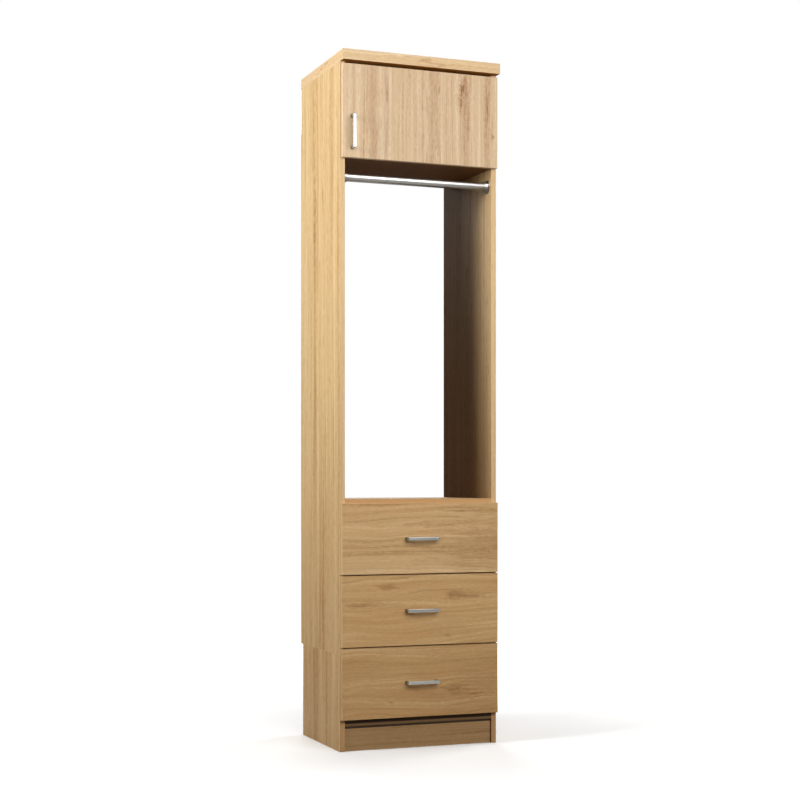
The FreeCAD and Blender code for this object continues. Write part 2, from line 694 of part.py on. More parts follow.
def drawer_side(number, hand, y, z):
    """Side of a drawer box, grooved along its inner face for the bottom."""
    left = hand == "left"
    x = f"(0 - {BOX_WIDTH} / 2)" if left else f"({BOX_WIDTH} / 2 - drawer_board)"
    label = f"drawer_side_{hand}_{number}"
    body = board_sideways(label, rectangle("drawer_length", "drawer_side_height"), "drawer_board", x, y, z)
    groove = new_sketch(body, "YZ_Plane", "drawer_board" if left else "0")
    over = "(groove_rise + drawer_bottom)"
    add_outline(groove, [("0", "groove_rise"), ("drawer_length", "groove_rise"),
                         ("drawer_length", over), ("0", over)])
    pocket(body, groove, "groove_depth", along_normal=not left)
    return body


# --------------------------------------------------------------------------------------------
# Concealed hinges: a plate and a hooked arm on the side panel, a cup let into the door, and the
# pin between them, inside the door's thickness
# --------------------------------------------------------------------------------------------

SIDE_FACE = "(carcass_width / 2 - board)"
KNUCKLE_DIAMETER = "(pin_diameter + 2 * pin_clearance + 2 * knuckle_wall)"


def hinge_cup(level):
    """Pressed cup with a screw plate round its mouth and two ears that hold the pin."""
    mouth = f"({CARCASS_FRONT} - door_standoff)"
    floor = f"({mouth} - cup_depth)"
    outer = "(cup_diameter - 2 * bore_clearance)"
    barrel = cylinder_along("y", outer, "cup_depth", CUP_X, floor, level)
    plate = box("cup_plate_width", "cup_plate_thickness", "cup_plate_length",
                f"({CUP_X} + cup_plate_inset - cup_plate_width)", mouth, f"({level} - cup_plate_length / 2)")
    hollow = cylinder_along("y", f"({outer} - 2 * cup_wall)", "(cup_depth + cup_plate_thickness - cup_wall)",
                            CUP_X, f"({floor} + cup_wall)", level)
    shell = cut(fused([barrel, plate]), hollow)
    inner = "(arm_width / 2 + ear_gap)"
    deep = "(cup_depth - cup_wall / 2 - hinge_axis_depth + ear_reach)"
    ears = []
    for foot in (f"({level} - {inner} - ear_thickness)", f"({level} + {inner})"):
        ear = box("(2 * ear_reach)", deep, "ear_thickness", f"({HINGE_X} - ear_reach)",
                  f"({floor} + cup_wall / 2)", foot)
        ears.append(shared([ear, barrel]))
    bore = cylinder_along("z", "(pin_diameter + 2 * pin_clearance)", PIN_LENGTH, HINGE_X, HINGE_Y,
                          f"({level} - {PIN_LENGTH} / 2)")
    return cut(fused([shell] + ears), bore)


def hinge_arm(name, level):
    """Bent strip from the hinge plate through the cup's mouth to a knuckle round the pin."""
    reach = f"({HINGE_X} - {SIDE_FACE} + plate_boss + arm_gauge)"
    length = f"({CARCASS_FRONT} + arm_tail - {HINGE_Y} + arm_drop)"
    body = new_body(name, f"({HINGE_X} - {reach})", f"({HINGE_Y} - arm_drop)", f"({level} - arm_width / 2)")
    strip = new_sketch(body, "XY_Plane")
    add_outline(strip, [("0", "0"), (reach, "0"), (reach, "arm_gauge"), ("arm_gauge", "arm_gauge"),
                        ("arm_gauge", length), ("0", length)])
    pad(body, strip, "arm_width")
    document.recompute()
    plain = body.Tip
    corner = [f"Edge{number}" for number, edge in enumerate(plain.Shape.Edges, start=1)
              if edge.BoundBox.XMax < TOUCH and edge.BoundBox.YMax < TOUCH]
    bend = body.newObject("PartDesign::Fillet", name + "_bend")
    bend.Base = (plain, corner)
    bind(bend, Radius="arm_bend")
    knuckle = new_sketch(body, "XY_Plane")
    add_circles(knuckle, [(reach, "arm_drop")], KNUCKLE_DIAMETER)
    pad(body, knuckle, "arm_width")
    drill(body, "XY_Plane", "0", [(reach, "arm_drop")], "(pin_diameter + 2 * pin_clearance)", "arm_width",
          along_normal=True)
    return body


def hinge_plate(level):
    """Mounting plate with a boss under the arm and two wings for its screws."""
    boss = box("plate_boss", "plate_boss_length", "plate_boss_width", f"({SIDE_FACE} - plate_boss)",
               f"({CARCASS_FRONT} + plate_boss_start)", f"({level} - plate_boss_width / 2)")
    wings = box("plate_wing", "plate_wing_width", "plate_wing_length", f"({SIDE_FACE} - plate_wing)",
                f"({PLATE_MIDDLE} - plate_wing_width / 2)", f"({level} - plate_wing_length / 2)")
    plate = fused([boss, wings])
    for sign in "-+":
        hole = cylinder_along("x", SCREW_BORE, "plate_wing", f"({SIDE_FACE} - plate_wing)", PLATE_MIDDLE,
                              f"({level} {sign} plate_screw_spacing / 2)")
        plate = cut(plate, hole)
    return plate


def hinge_plate_screws():
    """Screws that hold the hinge plates to the right side panel."""
    shank = "(plate_wing + pilot_depth - bore_clearance)"
    screws = [screw("+x", shank, f"({SIDE_FACE} - plate_wing)", f"({CARCASS_FRONT} + {depth})", level)
              for depth, level in plate_screw_places()]
    return group("hinge_plate_screws", screws)


def hinges():
    """Both hinges."""
    group("hinge_plates", [hinge_plate(level) for level in HINGE_LEVELS])
    group("hinge_arms", [hinge_arm(f"hinge_arm_{number}", level)
                         for number, level in enumerate(HINGE_LEVELS, start=1)])
    group("hinge_cups", [hinge_cup(level) for level in HINGE_LEVELS])
    group("hinge_pins", [cylinder_along("z", "pin_diameter", PIN_LENGTH, HINGE_X, HINGE_Y,
                                        f"({level} - {PIN_LENGTH} / 2)") for level in HINGE_LEVELS])
    hinge_plate_screws()


# --------------------------------------------------------------------------------------------
# Telescopic slides: three lipped channels that run inside one another
# --------------------------------------------------------------------------------------------

SLIDE_LIP = "(slide_step - slide_wall - slide_clearance)"
SLIDE_MARGIN = "(slide_wall + slide_edge_gap)"


def channel(name, wide, high, x, y, z, opens_right):
    """A channel with inturned lips, its web upright, that runs front to back."""
    body = new_body(name, x, y, z)
    outer_edge = [("0", "0"), (wide, "0"), (wide, f"(slide_wall + {SLIDE_LIP})")]
    lower_lip = [(f"({wide} - slide_wall)", f"(slide_wall + {SLIDE_LIP})"),
                 (f"({wide} - slide_wall)", "slide_wall")]
    inner_edge = [("slide_wall", "slide_wall"), ("slide_wall", f"({high} - slide_wall)")]
    lower_half = outer_edge + lower_lip + inner_edge[:1]
    upper_half = [(across, high if up == "0" else f"({high} - {up})") for across, up in reversed(lower_half)]
    outline = lower_half + upper_half
    if not opens_right:
        outline = [(wide if across == "0" else "0" if across == wide else f"({wide} - {across})", up)
                   for across, up in outline]
    sketch = new_sketch(body, "XZ_Plane")
    add_outline(sketch, outline)
    pad(body, sketch, "slide_length", reverse=True)
    return body


def slides(number):
    """Both slides of one drawer, each with its cabinet, middle and drawer member."""
    foot = (f"({LOWEST_FRONT} + {len(DRAWERS) - number} * {DRAWER_PITCH}"
            " + drawer_side_rise + slide_rise)")
    y = f"({CARCASS_FRONT} + slide_setback)"
    outer_wide = f"(slide_space - {SLIDE_MARGIN})"
    middle_wide = f"(slide_space - slide_wall - {SLIDE_MARGIN})"
    inner_wide = f"(slide_space - 2 * {SLIDE_MARGIN})"
    outer = channel(f"slide_outer_{number}_left", outer_wide, "slide_height", INNER_LEFT, y, foot, True)
    middle = channel(f"slide_middle_{number}_left", middle_wide, "(slide_height - 2 * slide_step)",
                     f"({INNER_LEFT} + {SLIDE_MARGIN})", y, f"({foot} + slide_step)", True)
    inner = channel(f"slide_inner_{number}_left", inner_wide, "(slide_height - 4 * slide_step)",
                    f"({INNER_LEFT} + 2 * {SLIDE_MARGIN})", y, f"({foot} + 2 * slide_step)", False)
    mirrored_pair(f"slide_outer_{number}", outer)
    mirrored_pair(f"slide_middle_{number}", middle)
    mirrored_pair(f"slide_inner_{number}", inner)


def make_all():
    """Make every sub-part."""
    for hand in ("left", "right"):
        side_panel(hand)
        side_base(hand)
    top_panel()
    shelf("cabinet_floor", CABINET_FLOOR)
    shelf("deck_board", DECK)
    shelf("base_board", "kick_height")
    toe_kick()
    cabinet_back()
    drawer_back()
    wall_rail()
    top_tongues()
    hanging_rod()
    rod_flanges()
    flange_screws()
    door()
    hinges()
    for number in DRAWERS:
        drawer(number)
        slides(number)


def check_and_write():
    """Check every object and sub-part, then write each sub-part to its file."""
    document.recompute()
    for item in document.Objects:
        bad = {"Invalid", "Error"} & set(item.State)
        if bad:
            raise RuntimeError(f"{item.Label} is {sorted(bad)}")
        if item.TypeId == "PartDesign::Pocket" and item.Shape.Volume >= item.BaseFeature.Shape.Volume:
            raise RuntimeError(f"{item.Label} cuts nothing")
    os.makedirs("parts", exist_ok=True)
    for node in nodes:
        if node.Shape.isNull() or not node.Shape.isValid():
            raise RuntimeError(f"{node.Label} has no valid shape")
        node.Shape.exportStep(f"parts/{node.Label}.step")


make_all()
check_and_write()
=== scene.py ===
"""Looks of a tall, narrow closet tower of light oak laminate.

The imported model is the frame: every CAD node stays where it is. The boards, back panels, slides and
hinges get their finishes, and the handles, screws, rod, rod flanges and bumpers are replaced by pieces
with their real rounding, threads and screw recesses.

Lengths are in metres. +X is to the right, +Y to the back and +Z up.
"""
import logging
import math
from collections.abc import Iterable
from dataclasses import dataclass, field, replace
from enum import Enum, IntEnum
from functools import cached_property

import bmesh
import bpy
import numpy as np
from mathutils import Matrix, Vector


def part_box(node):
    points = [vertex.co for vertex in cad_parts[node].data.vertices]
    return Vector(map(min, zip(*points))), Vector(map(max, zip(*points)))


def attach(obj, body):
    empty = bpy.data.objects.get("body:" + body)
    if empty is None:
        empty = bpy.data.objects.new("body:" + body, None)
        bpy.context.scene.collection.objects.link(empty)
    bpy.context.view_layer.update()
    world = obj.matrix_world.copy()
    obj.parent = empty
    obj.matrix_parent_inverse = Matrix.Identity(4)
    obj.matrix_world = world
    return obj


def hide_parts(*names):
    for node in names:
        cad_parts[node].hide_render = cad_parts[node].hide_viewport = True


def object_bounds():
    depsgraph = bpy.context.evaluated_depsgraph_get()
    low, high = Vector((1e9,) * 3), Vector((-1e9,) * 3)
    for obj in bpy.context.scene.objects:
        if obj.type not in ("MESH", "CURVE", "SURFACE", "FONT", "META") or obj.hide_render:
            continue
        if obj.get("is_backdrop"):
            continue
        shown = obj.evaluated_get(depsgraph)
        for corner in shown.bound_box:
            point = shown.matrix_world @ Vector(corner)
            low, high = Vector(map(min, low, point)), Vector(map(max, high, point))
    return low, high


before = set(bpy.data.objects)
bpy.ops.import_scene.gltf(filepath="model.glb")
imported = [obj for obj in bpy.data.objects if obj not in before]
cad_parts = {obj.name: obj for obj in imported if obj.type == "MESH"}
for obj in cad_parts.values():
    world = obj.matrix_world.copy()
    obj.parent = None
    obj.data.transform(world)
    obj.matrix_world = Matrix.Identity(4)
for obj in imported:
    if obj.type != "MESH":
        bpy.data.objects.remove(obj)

LOG = logging.getLogger("closet_tower")
CAD_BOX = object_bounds()
DRAWERS = (1, 2, 3)  # from the top down
HANDS = ("left", "right")
SMOOTH_BELOW = math.radians(35.0)  # edges that bend by more than this stay sharp
EDGE_BEND = (0.985, 0.80)  # cosines of the bends at which an edge's wear, and on the oak its painted highlight, starts and is full
FACED = 0.7  # how squarely a face has to look along an axis to count as facing that way
FLAT_ON = (0.6, 0.8)  # the same where it comes in softly
WHITE = (1.0, 1.0, 1.0, 1.0)

Socket = bpy.types.NodeSocket
Material = bpy.types.Material
Place = tuple[float, float, float]
Colour = tuple[float, float, float, float]


class Axis(IntEnum):
    """A direction of the part's own frame."""

    X = 0
    Y = 1
    Z = 2


class Side(float, Enum):
    """Which way a screw or a fitting faces along its axis."""

    TOWARDS = 1.0
    AWAY = -1.0


def shade(red: int, green: int, blue: int) -> Colour:
    """Turn a colour as seen on a screen into a linear one.

    Args:
        red: Red, 0 to 255.
        green: Green, 0 to 255.
        blue: Blue, 0 to 255.

    Returns:
        The colour as linear red, green and blue, with full alpha.
    """
    levels = np.array([red, green, blue]) / 255.0
    linear = np.where(levels <= 0.04045, levels / 12.92, ((levels + 0.055) / 1.055) ** 2.4)
    return (*linear.tolist(), 1.0)


# ------------------------------------------ Node graphs ------------------------------------------


class Value:
    """A number that a node works out. The usual signs and the methods add the nodes that reckon with it."""

    def __init__(self, graph: "Graph", socket: Socket) -> None:
        """Wrap a socket of a graph."""
        self.graph = graph
        self.socket = socket

    def math(self, operation: str, *others: "Number") -> "Value":
        """Put it into a math node, before any other numbers."""
        return self.graph.math(operation, self, *others)

    def __add__(self, other: "Number") -> "Value":
        """Add a number."""
        return self.math("ADD", other)

    def __sub__(self, other: "Number") -> "Value":
        """Take a number away."""
        return self.math("SUBTRACT", other)

    def __rsub__(self, other: float) -> "Value":
        """Take this away from a plain number."""
        return self.graph.math("SUBTRACT", other, self)

    def __mul__(self, other: "Number") -> "Value":
        """Multiply by a number."""
        return self.math("MULTIPLY", other)

    def __abs__(self) -> "Value":
        """Drop the sign."""
        return self.math("ABSOLUTE")

    __radd__ = __add__
    __rmul__ = __mul__

    def between(self, start: float, end: float, low: float = 0.0, high: float = 1.0) -> "Value":
        """Ease from low to high as this goes from start to end, and hold outside that."""
        inputs = {"Value": self, "From Min": start, "From Max": end, "To Min": low, "To Max": high}
        return self.graph.number("ShaderNodeMapRange", inputs, interpolation_type="SMOOTHSTEP")

    def pick(self, first: "Number", second: "Number") -> "Value":
        """Blend two numbers: the first where this is 0 and the second where it is 1."""
        return self.graph.number("ShaderNodeMix", {0: self, 2: first, 3: second}, data_type="FLOAT")


Number = float | Value


class Graph:
    """A node tree, with a method for each kind of node that the finishes and the studio use."""

    def __init__(self, tree: bpy.types.NodeTree) -> None:
        """Start with an empty tree.

        Args:
            tree: The tree, whose nodes are thrown away.
        """
        self.tree = tree
        self.tree.nodes.clear()
        self.coordinates = self.add("ShaderNodeTexCoord")

    def add(self, kind: str, inputs: dict | Iterable = (), **settings: object) -> bpy.types.Node:
        """Add a node.

        Args:
            kind: The node's type.
            inputs: What its sockets get, by their names or numbers.
            **settings: Properties of the node and their values.

        Returns:
            The new node.
        """
        node = self.tree.nodes.new(kind)
        for name, value in settings.items():
            setattr(node, name, value)
        for name, value in dict(inputs).items():
            self.feed(node.inputs[name], value)
        return node

    def feed(self, target: Socket, value: object) -> None:
        """Link a socket to where a value comes from, or set it to a plain value.

        Args:
            target: The socket.
            value: A number or colour, plain or worked out by a node.
        """
        source = value.socket if isinstance(value, Value) else value
        if isinstance(source, bpy.types.NodeSocket):
            self.tree.links.new(source, target)
        else:
            target.default_value = source

    def number(self, kind: str, inputs: dict | Iterable, **settings: object) -> Value:
        """Add a node whose first output is a number."""
        return Value(self, self.add(kind, inputs, **settings).outputs[0])

    def math(self, operation: str, *values: Number) -> Value:
        """Work out a number from one or two others."""
        return self.number("ShaderNodeMath", enumerate(values), operation=operation)

    def vector(self, *parts: Number) -> Socket:
        """Put three numbers together as a vector."""
        return self.add("ShaderNodeCombineXYZ", enumerate(parts)).outputs[0]

    def parts(self, vector: Socket) -> list[Value]:
        """Take a vector apart."""
        return [Value(self, part) for part in self.add("ShaderNodeSeparateXYZ", {0: vector}).outputs]

    @cached_property
    def place(self) -> list[Value]:
        """Where a point is, along each axis of the part."""
        return self.parts(self.coordinates.outputs["Object"])

    @cached_property
    def facing(self) -> list[Value]:
        """Which way the surface looks, along each axis of the part."""
        return self.parts(self.coordinates.outputs["Normal"])

    def stretched(self, vector: Socket, scale: Place, shift: Place) -> Socket:
        """Scale a vector along each axis, then move it."""
        inputs = enumerate((vector, scale, shift))
        return self.add("ShaderNodeVectorMath", inputs, operation="MULTIPLY_ADD").outputs[0]

    def noise(self, vector: Socket, scale: Place, shift: Place, detail: float = 2.0,
              roughness: float = 0.5) -> Value:
        """Draw smooth random values, about 0.5 on average.

        Args:
            vector: Where to look them up.
            scale: How many features there are per metre, along each axis.
            shift: Where in the noise the origin lies.
            detail: How many finer layers are added.
            roughness: How strong those are.

        Returns:
            The values.
        """
        inputs = {"Vector": self.stretched(vector, scale, shift), "Scale": 1.0, "Detail": detail,
                  "Roughness": roughness}
        return self.number("ShaderNodeTexNoise", inputs)

    def blend(self, factor: Number, first: object, second: object, kind: str = "MIX") -> Socket:
        """Blend two colours."""
        inputs = {0: factor, 6: first, 7: second}
        return self.add("ShaderNodeMix", inputs, data_type="RGBA", blend_type=kind).outputs[2]

    def ramp(self, factor: Value, stops: list[tuple[float, Colour]]) -> Socket:
        """Turn a number into a colour.

        Args:
            factor: The number.
            stops: Numbers and the colours there, at least two.

        Returns:
            The colour, which eases from stop to stop.
        """
        node = self.add("ShaderNodeValToRGB", {0: factor})
        node.color_ramp.interpolation = "EASE"
        elements = node.color_ramp.elements
        while len(elements) < len(stops):
            elements.new(0.5)
        for element, (place, colour) in zip(elements, stops):
            element.position = place
            element.color = colour
        return node.outputs[0]

    def seen_rays(self) -> tuple[Value, Value]:
        """Tell the rays that show the surroundings apart.

        Returns:
            1 for rays from the camera or through something clear, and 1 for rays off something glossy.
        """
        path = self.add("ShaderNodeLightPath").outputs
        camera, clear, glossy = [Value(self, path[f"Is {kind} Ray"])
                                 for kind in ("Camera", "Transmission", "Glossy")]
        return camera.math("MAXIMUM", clear), glossy


class Finish(Graph):
    """A material's node tree round one shader."""

    def __init__(self, name: str) -> None:
        """Start a material whose shader has nothing linked to it.

        Args:
            name: The material's name.
        """
        self.material = bpy.data.materials.new(name)
        self.material.use_nodes = True
        super().__init__(self.material.node_tree)
        self.shader = self.add("ShaderNodeBsdfPrincipled")
        self.output = self.add("ShaderNodeOutputMaterial", {"Surface": self.shader.outputs["BSDF"]})

    def set(self, name: str, value: object) -> None:
        """Set or link one of the shader's own sockets."""
        self.feed(self.shader.inputs[name], value)

    def edges(self, radius: float) -> tuple[Socket, Value]:
        """Find the edges of a piece.

        Args:
            radius: How far from an edge its wear, and on the oak its painted highlight, reaches.

        Returns:
            A normal that is rounded at the edges, and a number that rises to 1 on them.
        """
        normal = self.add("ShaderNodeBevel", {"Radius": radius}, samples=4).outputs["Normal"]
        true_normal = self.add("ShaderNodeNewGeometry").outputs["True Normal"]
        compared = self.add("ShaderNodeVectorMath", enumerate((normal, true_normal)), operation="DOT_PRODUCT")
        return normal, Value(self, compared.outputs["Value"]).between(*EDGE_BEND)

    def bump(self, height: Value, depth: float, normal: Socket) -> None:
        """Give the shader a relief of the given depth, on top of a normal."""
        inputs = {"Strength": 1.0, "Distance": depth, "Height": height, "Normal": normal}
        self.set("Normal", self.add("ShaderNodeBump", inputs).outputs["Normal"])


# ------------------------------------------- Finishes --------------------------------------------


@dataclass(frozen=True)
class Layer:
    """Noise that is drawn out along the grain."""

    along: float  # features per metre along the grain
    across: float  # features per metre across it
    detail: float = 2.0
    roughness: float = 0.5
    faint: float = 0.0  # the layer is 0 where the noise is below this
    full: float = 0.0  # and 1 where it is above this, or the noise itself if this is 0

    def draw(self, graph: Graph, grain: Socket, shift: Place) -> Value:
        """Draw the layer.

        Args:
            graph: The material's graph.
            grain: Places along, across and through the grain.
            shift: Where in the noise the board is cut from.

        Returns:
            The layer's values, from 0 to 1.
        """
        scale = (self.along, self.across, self.across)
        noise = graph.noise(grain, scale, shift, self.detail, self.roughness)
        return noise.between(self.faint, self.full) if self.full else noise


FRAYING = Layer(14.0, 150.0)  # of the marks' outlines
DRIFT = Layer(22.0, 55.0, 2.0, 0.6)  # of the arches
WANDER = Layer(2.2, 5.0)  # of the whole grain, from side to side
BANDS = Layer(0.5, 18.0)
STREAKS = Layer(1.2, 85.0, 4.0, 0.75)
FIBRES = Layer(60.0, 400.0, 1.0)
PORES = Layer(55.0, 1900.0, 1.0, 0.5, 0.60, 0.70)
VEINS = Layer(1.6, 80.0, 3.0, 0.7, 0.56, 0.72)
FLECKS = Layer(16.0, 170.0, 1.0, 0.5, 0.62, 0.72)
REDDENING = Layer(3.0, 26.0, 2.0, 0.5, 0.42, 0.62)


@dataclass(frozen=True)
class Mark:
    """A knot or a dark streak in the grain, drawn out along it."""

    along: float  # its middle, along the grain
    across: float  # its middle, across the grain
    core: float  # half its width
    stretch: float  # how many times longer than wide it is
    darkness: float  # 0 to 1
    rings: float = 0.0  # how strongly rings show round it
    pull: float = 0.6  # how much of the way the grain beside it is pulled in
    halo: float = 3.2  # how far that reaches, in cores
    ring_spacing: float = 0.0055

    def draw(self, along: Value, across: Value, fraying: Value) -> tuple[Value, Value, Value]:
        """Draw the mark.

        With e the distance to the mark's middle, its part along the grain divided by the stretch, the
        grain is pulled towards the middle line by pull exp(-(e / halo)^2) of its distance from it, the
        dark core fades out from 0.1 to 1.3 of its half width, and the rings are cos(2 pi e / spacing) under
        the same bell. The noise stretches e by 0.45 to 1.55 in the core and the rings.

        Args:
            along: Place along the grain.
            across: Place across the grain.
            fraying: Noise about 0.5 that frays the mark's outline.

        Returns:
            What the mark adds to the place across, its darkness and its rings.
        """
        away = (along - self.along) * (1.0 / self.stretch)
        aside = across - self.across
        square = away * away + aside * aside
        distance = square.math("SQRT") * fraying.between(0.3, 0.7, 0.45, 1.55)
        bell = (square * (-1.0 / (self.halo * self.core) ** 2)).math("EXPONENT")
        dark = distance.between(1.3 * self.core, 0.1 * self.core, 0.0, self.darkness)
        rings = (distance * (2.0 * math.pi / self.ring_spacing)).math("COSINE")
        return aside * bell * -self.pull, dark, rings * bell * self.rings


@dataclass(frozen=True)
class Arches:
    """A run of nested arches in the grain, where the saw met the growth rings at a slant."""

    along: float  # the middle of the run, along the grain
    across: float  # the arches' common middle line
    half_length: float
    half_width: float
    spacing: float
    curve: float  # how sharply they bend, and which way
    strength: float
    fray: float = 7.0  # how far the lines stray, in spacings
    thinness: float = 3.0  # power that narrows the lines

    def draw(self, along: Value, across: Value, drift: Value) -> Value:
        """Draw the run.

        Its thin dark lines are where (a - curve c^2 + fray) / spacing is whole, with a and c the places
        along and across from the run's middle: the cube of a cosine between 0 and 1. They fade by
        exp(-(a / length)^2 - (c / width)^2).

        Args:
            along: Place along the grain.
            across: Place across the grain.
            drift: Noise about 0.5 that frays the lines.

        Returns:
            What the arches add to the tone.
        """
        away = along - self.along
        aside = across - self.across
        long, wide = away * away, aside * aside
        phase = away - wide * self.curve + drift * (self.fray * self.spacing)
        wave = (phase * (2.0 * math.pi / self.spacing)).math("COSINE")
        line = (wave * 0.5 + 0.5).math("POWER", self.thinness)
        fade = (long * (-1.0 / self.half_length**2) - wide * (1.0 / self.half_width**2)).math("EXPONENT")
        return line * fade * -self.strength


@dataclass(frozen=True)
class OakTone:
    """Colours of one oak print."""

    dark: Colour
    middle: Colour
    light: Colour
    knot: Colour


@dataclass(frozen=True)
class OakLaminate:
    """Oak-printed board: grain along one axis, thin along another, with edge bands on its edges.

    The coordinates are turned so that "along" follows the grain, and on the two ends of the board
    "along" follows the end's own band instead. Each layer of the grain is noise that is drawn out along
    the grain: wide bands, narrow streaks and short pores. Marks push the grain aside as knots do.
    """

    name: str
    grain: Axis
    thin: Axis
    tone: OakTone
    cut: float = 0.0  # where on the endless print this board is cut from
    contrast: float = 1.0
    marks: tuple[Mark, ...] = ()
    arches: tuple[Arches, ...] = ()
    edge_tint: Colour = shade(232, 203, 166)
    edge_share: float = 0.35  # how much of that the edge bands take
    edge_radius: float = 0.0007
    sheen: float = 0.20  # specular level
    level: float = 0.56  # where on the way from the dark to the light colour the print is on average
    wave: float = 0.02  # how far the grain swings from side to side
    broad: float = 0.7  # weight of the wide bands
    streaked: float = 1.2  # weight of the narrow streaks
    fibrous: float = 0.45  # weight of the fibres
    veined: float = 0.2  # ink in the long dark lines
    flecked: float = 0.5  # weight of the short dark dashes
    pored: float = 0.16  # ink in the pores
    blush: float = 0.0  # how much redder some of the bands are
    blush_tint: Colour = shade(248, 236, 228)
    floor_shade: float = 0.0  # how much painted shade darkens an upright board towards the floor
    floor_shade_heights: tuple[float, float] = (1.2, -0.1)  # where that painted shade starts, and where it would be full
    # colour of that painted shade
    floor_shade_tint: Colour = shade(208, 184, 162)
    band_floor_shade: float = 0.6  # how much more painted shade the edge bands take there
    inner: Side | None = None  # which way the inner face looks that takes painted shade, a deeper colour and less sheen; on uprights it grows towards the back and the floor
    # colour of the inner face's painted shade
    inner_shade_tint: Colour = shade(196, 188, 178)
    inner_shade_depths: tuple[float, float] = (-0.498, -0.155)  # depths between which an upright's painted inner shade grows, at the floor
    inner_shade_rise: float = 0.16  # how much further back that painted shade starts for each metre of height
    inner_shade_dulling: float = 0.8  # how much of its sheen the inner face loses under the painted shade
    shadow_lines: tuple[tuple[float, float], ...] = ()  # heights between which a painted shadow line runs, where a gap or recess is in shade
    # blur, strength and colour of the painted shadow lines
    shadow_line_blur: float = 0.0005
    shadow_line_share: float = 0.9
    shadow_line_tint: Colour = shade(38, 29, 22)
    roughness: float = 0.48
    streak_roughness: float = 0.12
    pore_roughness: float = 0.15
    relief: float = 0.00006  # depth of the pores
    fibre_relief: float = 0.35  # height of the fibres, as a share of that

    def board_coordinates(self, graph: Graph) -> tuple[Value, Value, Value, Value]:
        """Work out where on the board a point is.

        Args:
            graph: The material's graph.

        Returns:
            The places along, across and through the grain, and 1 on the board's edge bands.
        """
        cross = ({0, 1, 2} - {self.grain, self.thin}).pop()
        along, across, through = [graph.place[axis] for axis in (self.grain, cross, self.thin)]
        on_end, on_edge, on_face = [abs(graph.facing[axis]).math("GREATER_THAN", FACED)
                                    for axis in (self.grain, cross, self.thin)]
        band = 1.0 - on_face
        return (on_end.pick(along, across), band.pick(across, through),
                on_end.pick(on_edge.pick(through, across), along), band)

    def print_grain(self, graph: Graph, along: Value, across: Value,
                    through: Value) -> tuple[Socket, Value, Value, Value]:
        """Print the grain: bands, streaks and fibres in three colours, then lines, marks and pores.

        Args:
            graph: The material's graph.
            along: Place along the grain.
            across: Place across the grain.
            through: Place through the board.

        Returns:
            The print's colour, and its streaks, fibres and pores.
        """
        here = (self.cut, 3.7 * self.cut, 1.9 * self.cut)
        there = (5.3 * self.cut, 0.7 * self.cut, self.cut)
        plain = graph.vector(along, across, through)
        fraying = FRAYING.draw(graph, plain, here)
        marks = [mark.draw(along, across, fraying) for mark in self.marks]
        drift = DRIFT.draw(graph, plain, there)
        arches = [run.draw(along, across, drift) for run in self.arches]
        swing = (WANDER.draw(graph, plain, here) - 0.5) * self.wave
        grain = graph.vector(along, sum([pulled for pulled, _, _ in marks], across + swing), through)
        bands, streaks, fibres, pores = [layer.draw(graph, grain, here)
                                         for layer in (BANDS, STREAKS, FIBRES, PORES)]
        veins, flecks = [layer.draw(graph, grain, there) for layer in (VEINS, FLECKS)]
        weighted = [(layer - 0.5) * (weight * self.contrast) for layer, weight in
                    ((bands, self.broad), (streaks, self.streaked), (fibres, self.fibrous))]
        tone = sum([*weighted, *[rings for _, _, rings in marks], *arches], self.level)
        colour = graph.ramp(tone, [(0.0, self.tone.dark), (0.5, self.tone.middle), (1.0, self.tone.light)])
        if self.blush:
            reddened = REDDENING.draw(graph, grain, there) * self.blush
            colour = graph.blend(reddened, colour, self.blush_tint, "MULTIPLY")
        lines = veins.math("MAXIMUM", flecks * self.flecked) * (self.veined * self.contrast)
        broken = fibres.between(0.3, 0.6, 1.0, 0.7)
        for ink in (lines, *[dark * broken for _, dark, _ in marks], pores * self.pored):
            colour = graph.blend(ink, colour, self.tone.knot)
        return colour, streaks, fibres, pores

    def shade_faces(self, graph: Graph, colour: Socket, on_band: Value) -> tuple[Socket, Number]:
        """Paint shade on the board: darker towards the floor, on its inner face, and in shadow lines at its
        gaps.

        Args:
            graph: The material's graph.
            colour: The board's colour so far.
            on_band: 1 on the board's edge bands.

        Returns:
            The colour, and the sheen, which is less where the inner face is painted in shade.
        """
        _, depth, height = graph.place
        sheen: Number = self.sheen
        # Painted shade towards the floor, stronger on the edge bands.
        if self.floor_shade:
            painted_floor_shade = height.between(*self.floor_shade_heights, 0.0, self.floor_shade) * (on_band * self.band_floor_shade + 1.0)
            colour = graph.blend(painted_floor_shade, colour, self.floor_shade_tint, "MULTIPLY")
        # Painted shade on the inner face: a deeper colour and less sheen, growing towards the back and the
        # floor.
        if self.inner:
            shaded_inside = (graph.facing[self.thin] * self.inner).between(*FLAT_ON)
            if self.thin is Axis.X:
                shaded_inside = shaded_inside * (depth - height * self.inner_shade_rise).between(*self.inner_shade_depths)
            colour = graph.blend(shaded_inside, colour, self.inner_shade_tint, "MULTIPLY")
            sheen = self.sheen - shaded_inside * (self.inner_shade_dulling * self.sheen)
        # Painted shadow lines where a gap or recess is in shade, on the front faces only.
        for low, high in self.shadow_lines:
            above = height.between(low - self.shadow_line_blur, low + self.shadow_line_blur)
            below = height.between(high + self.shadow_line_blur, high - self.shadow_line_blur)
            on_front = abs(graph.facing[Axis.Y]).between(*FLAT_ON, 0.0, self.shadow_line_share)
            colour = graph.blend(above * below * on_front, colour, self.shadow_line_tint)
        return colour, sheen

    def build(self) -> Material:
        """Make the material.

        Returns:
            The material.
        """
        graph = Finish(self.name)
        along, across, through, on_band = self.board_coordinates(graph)
        colour, streaks, fibres, pores = self.print_grain(graph, along, across, through)
        normal, edge = graph.edges(self.edge_radius)
        colour = graph.blend(on_band * self.edge_share, colour, self.edge_tint)
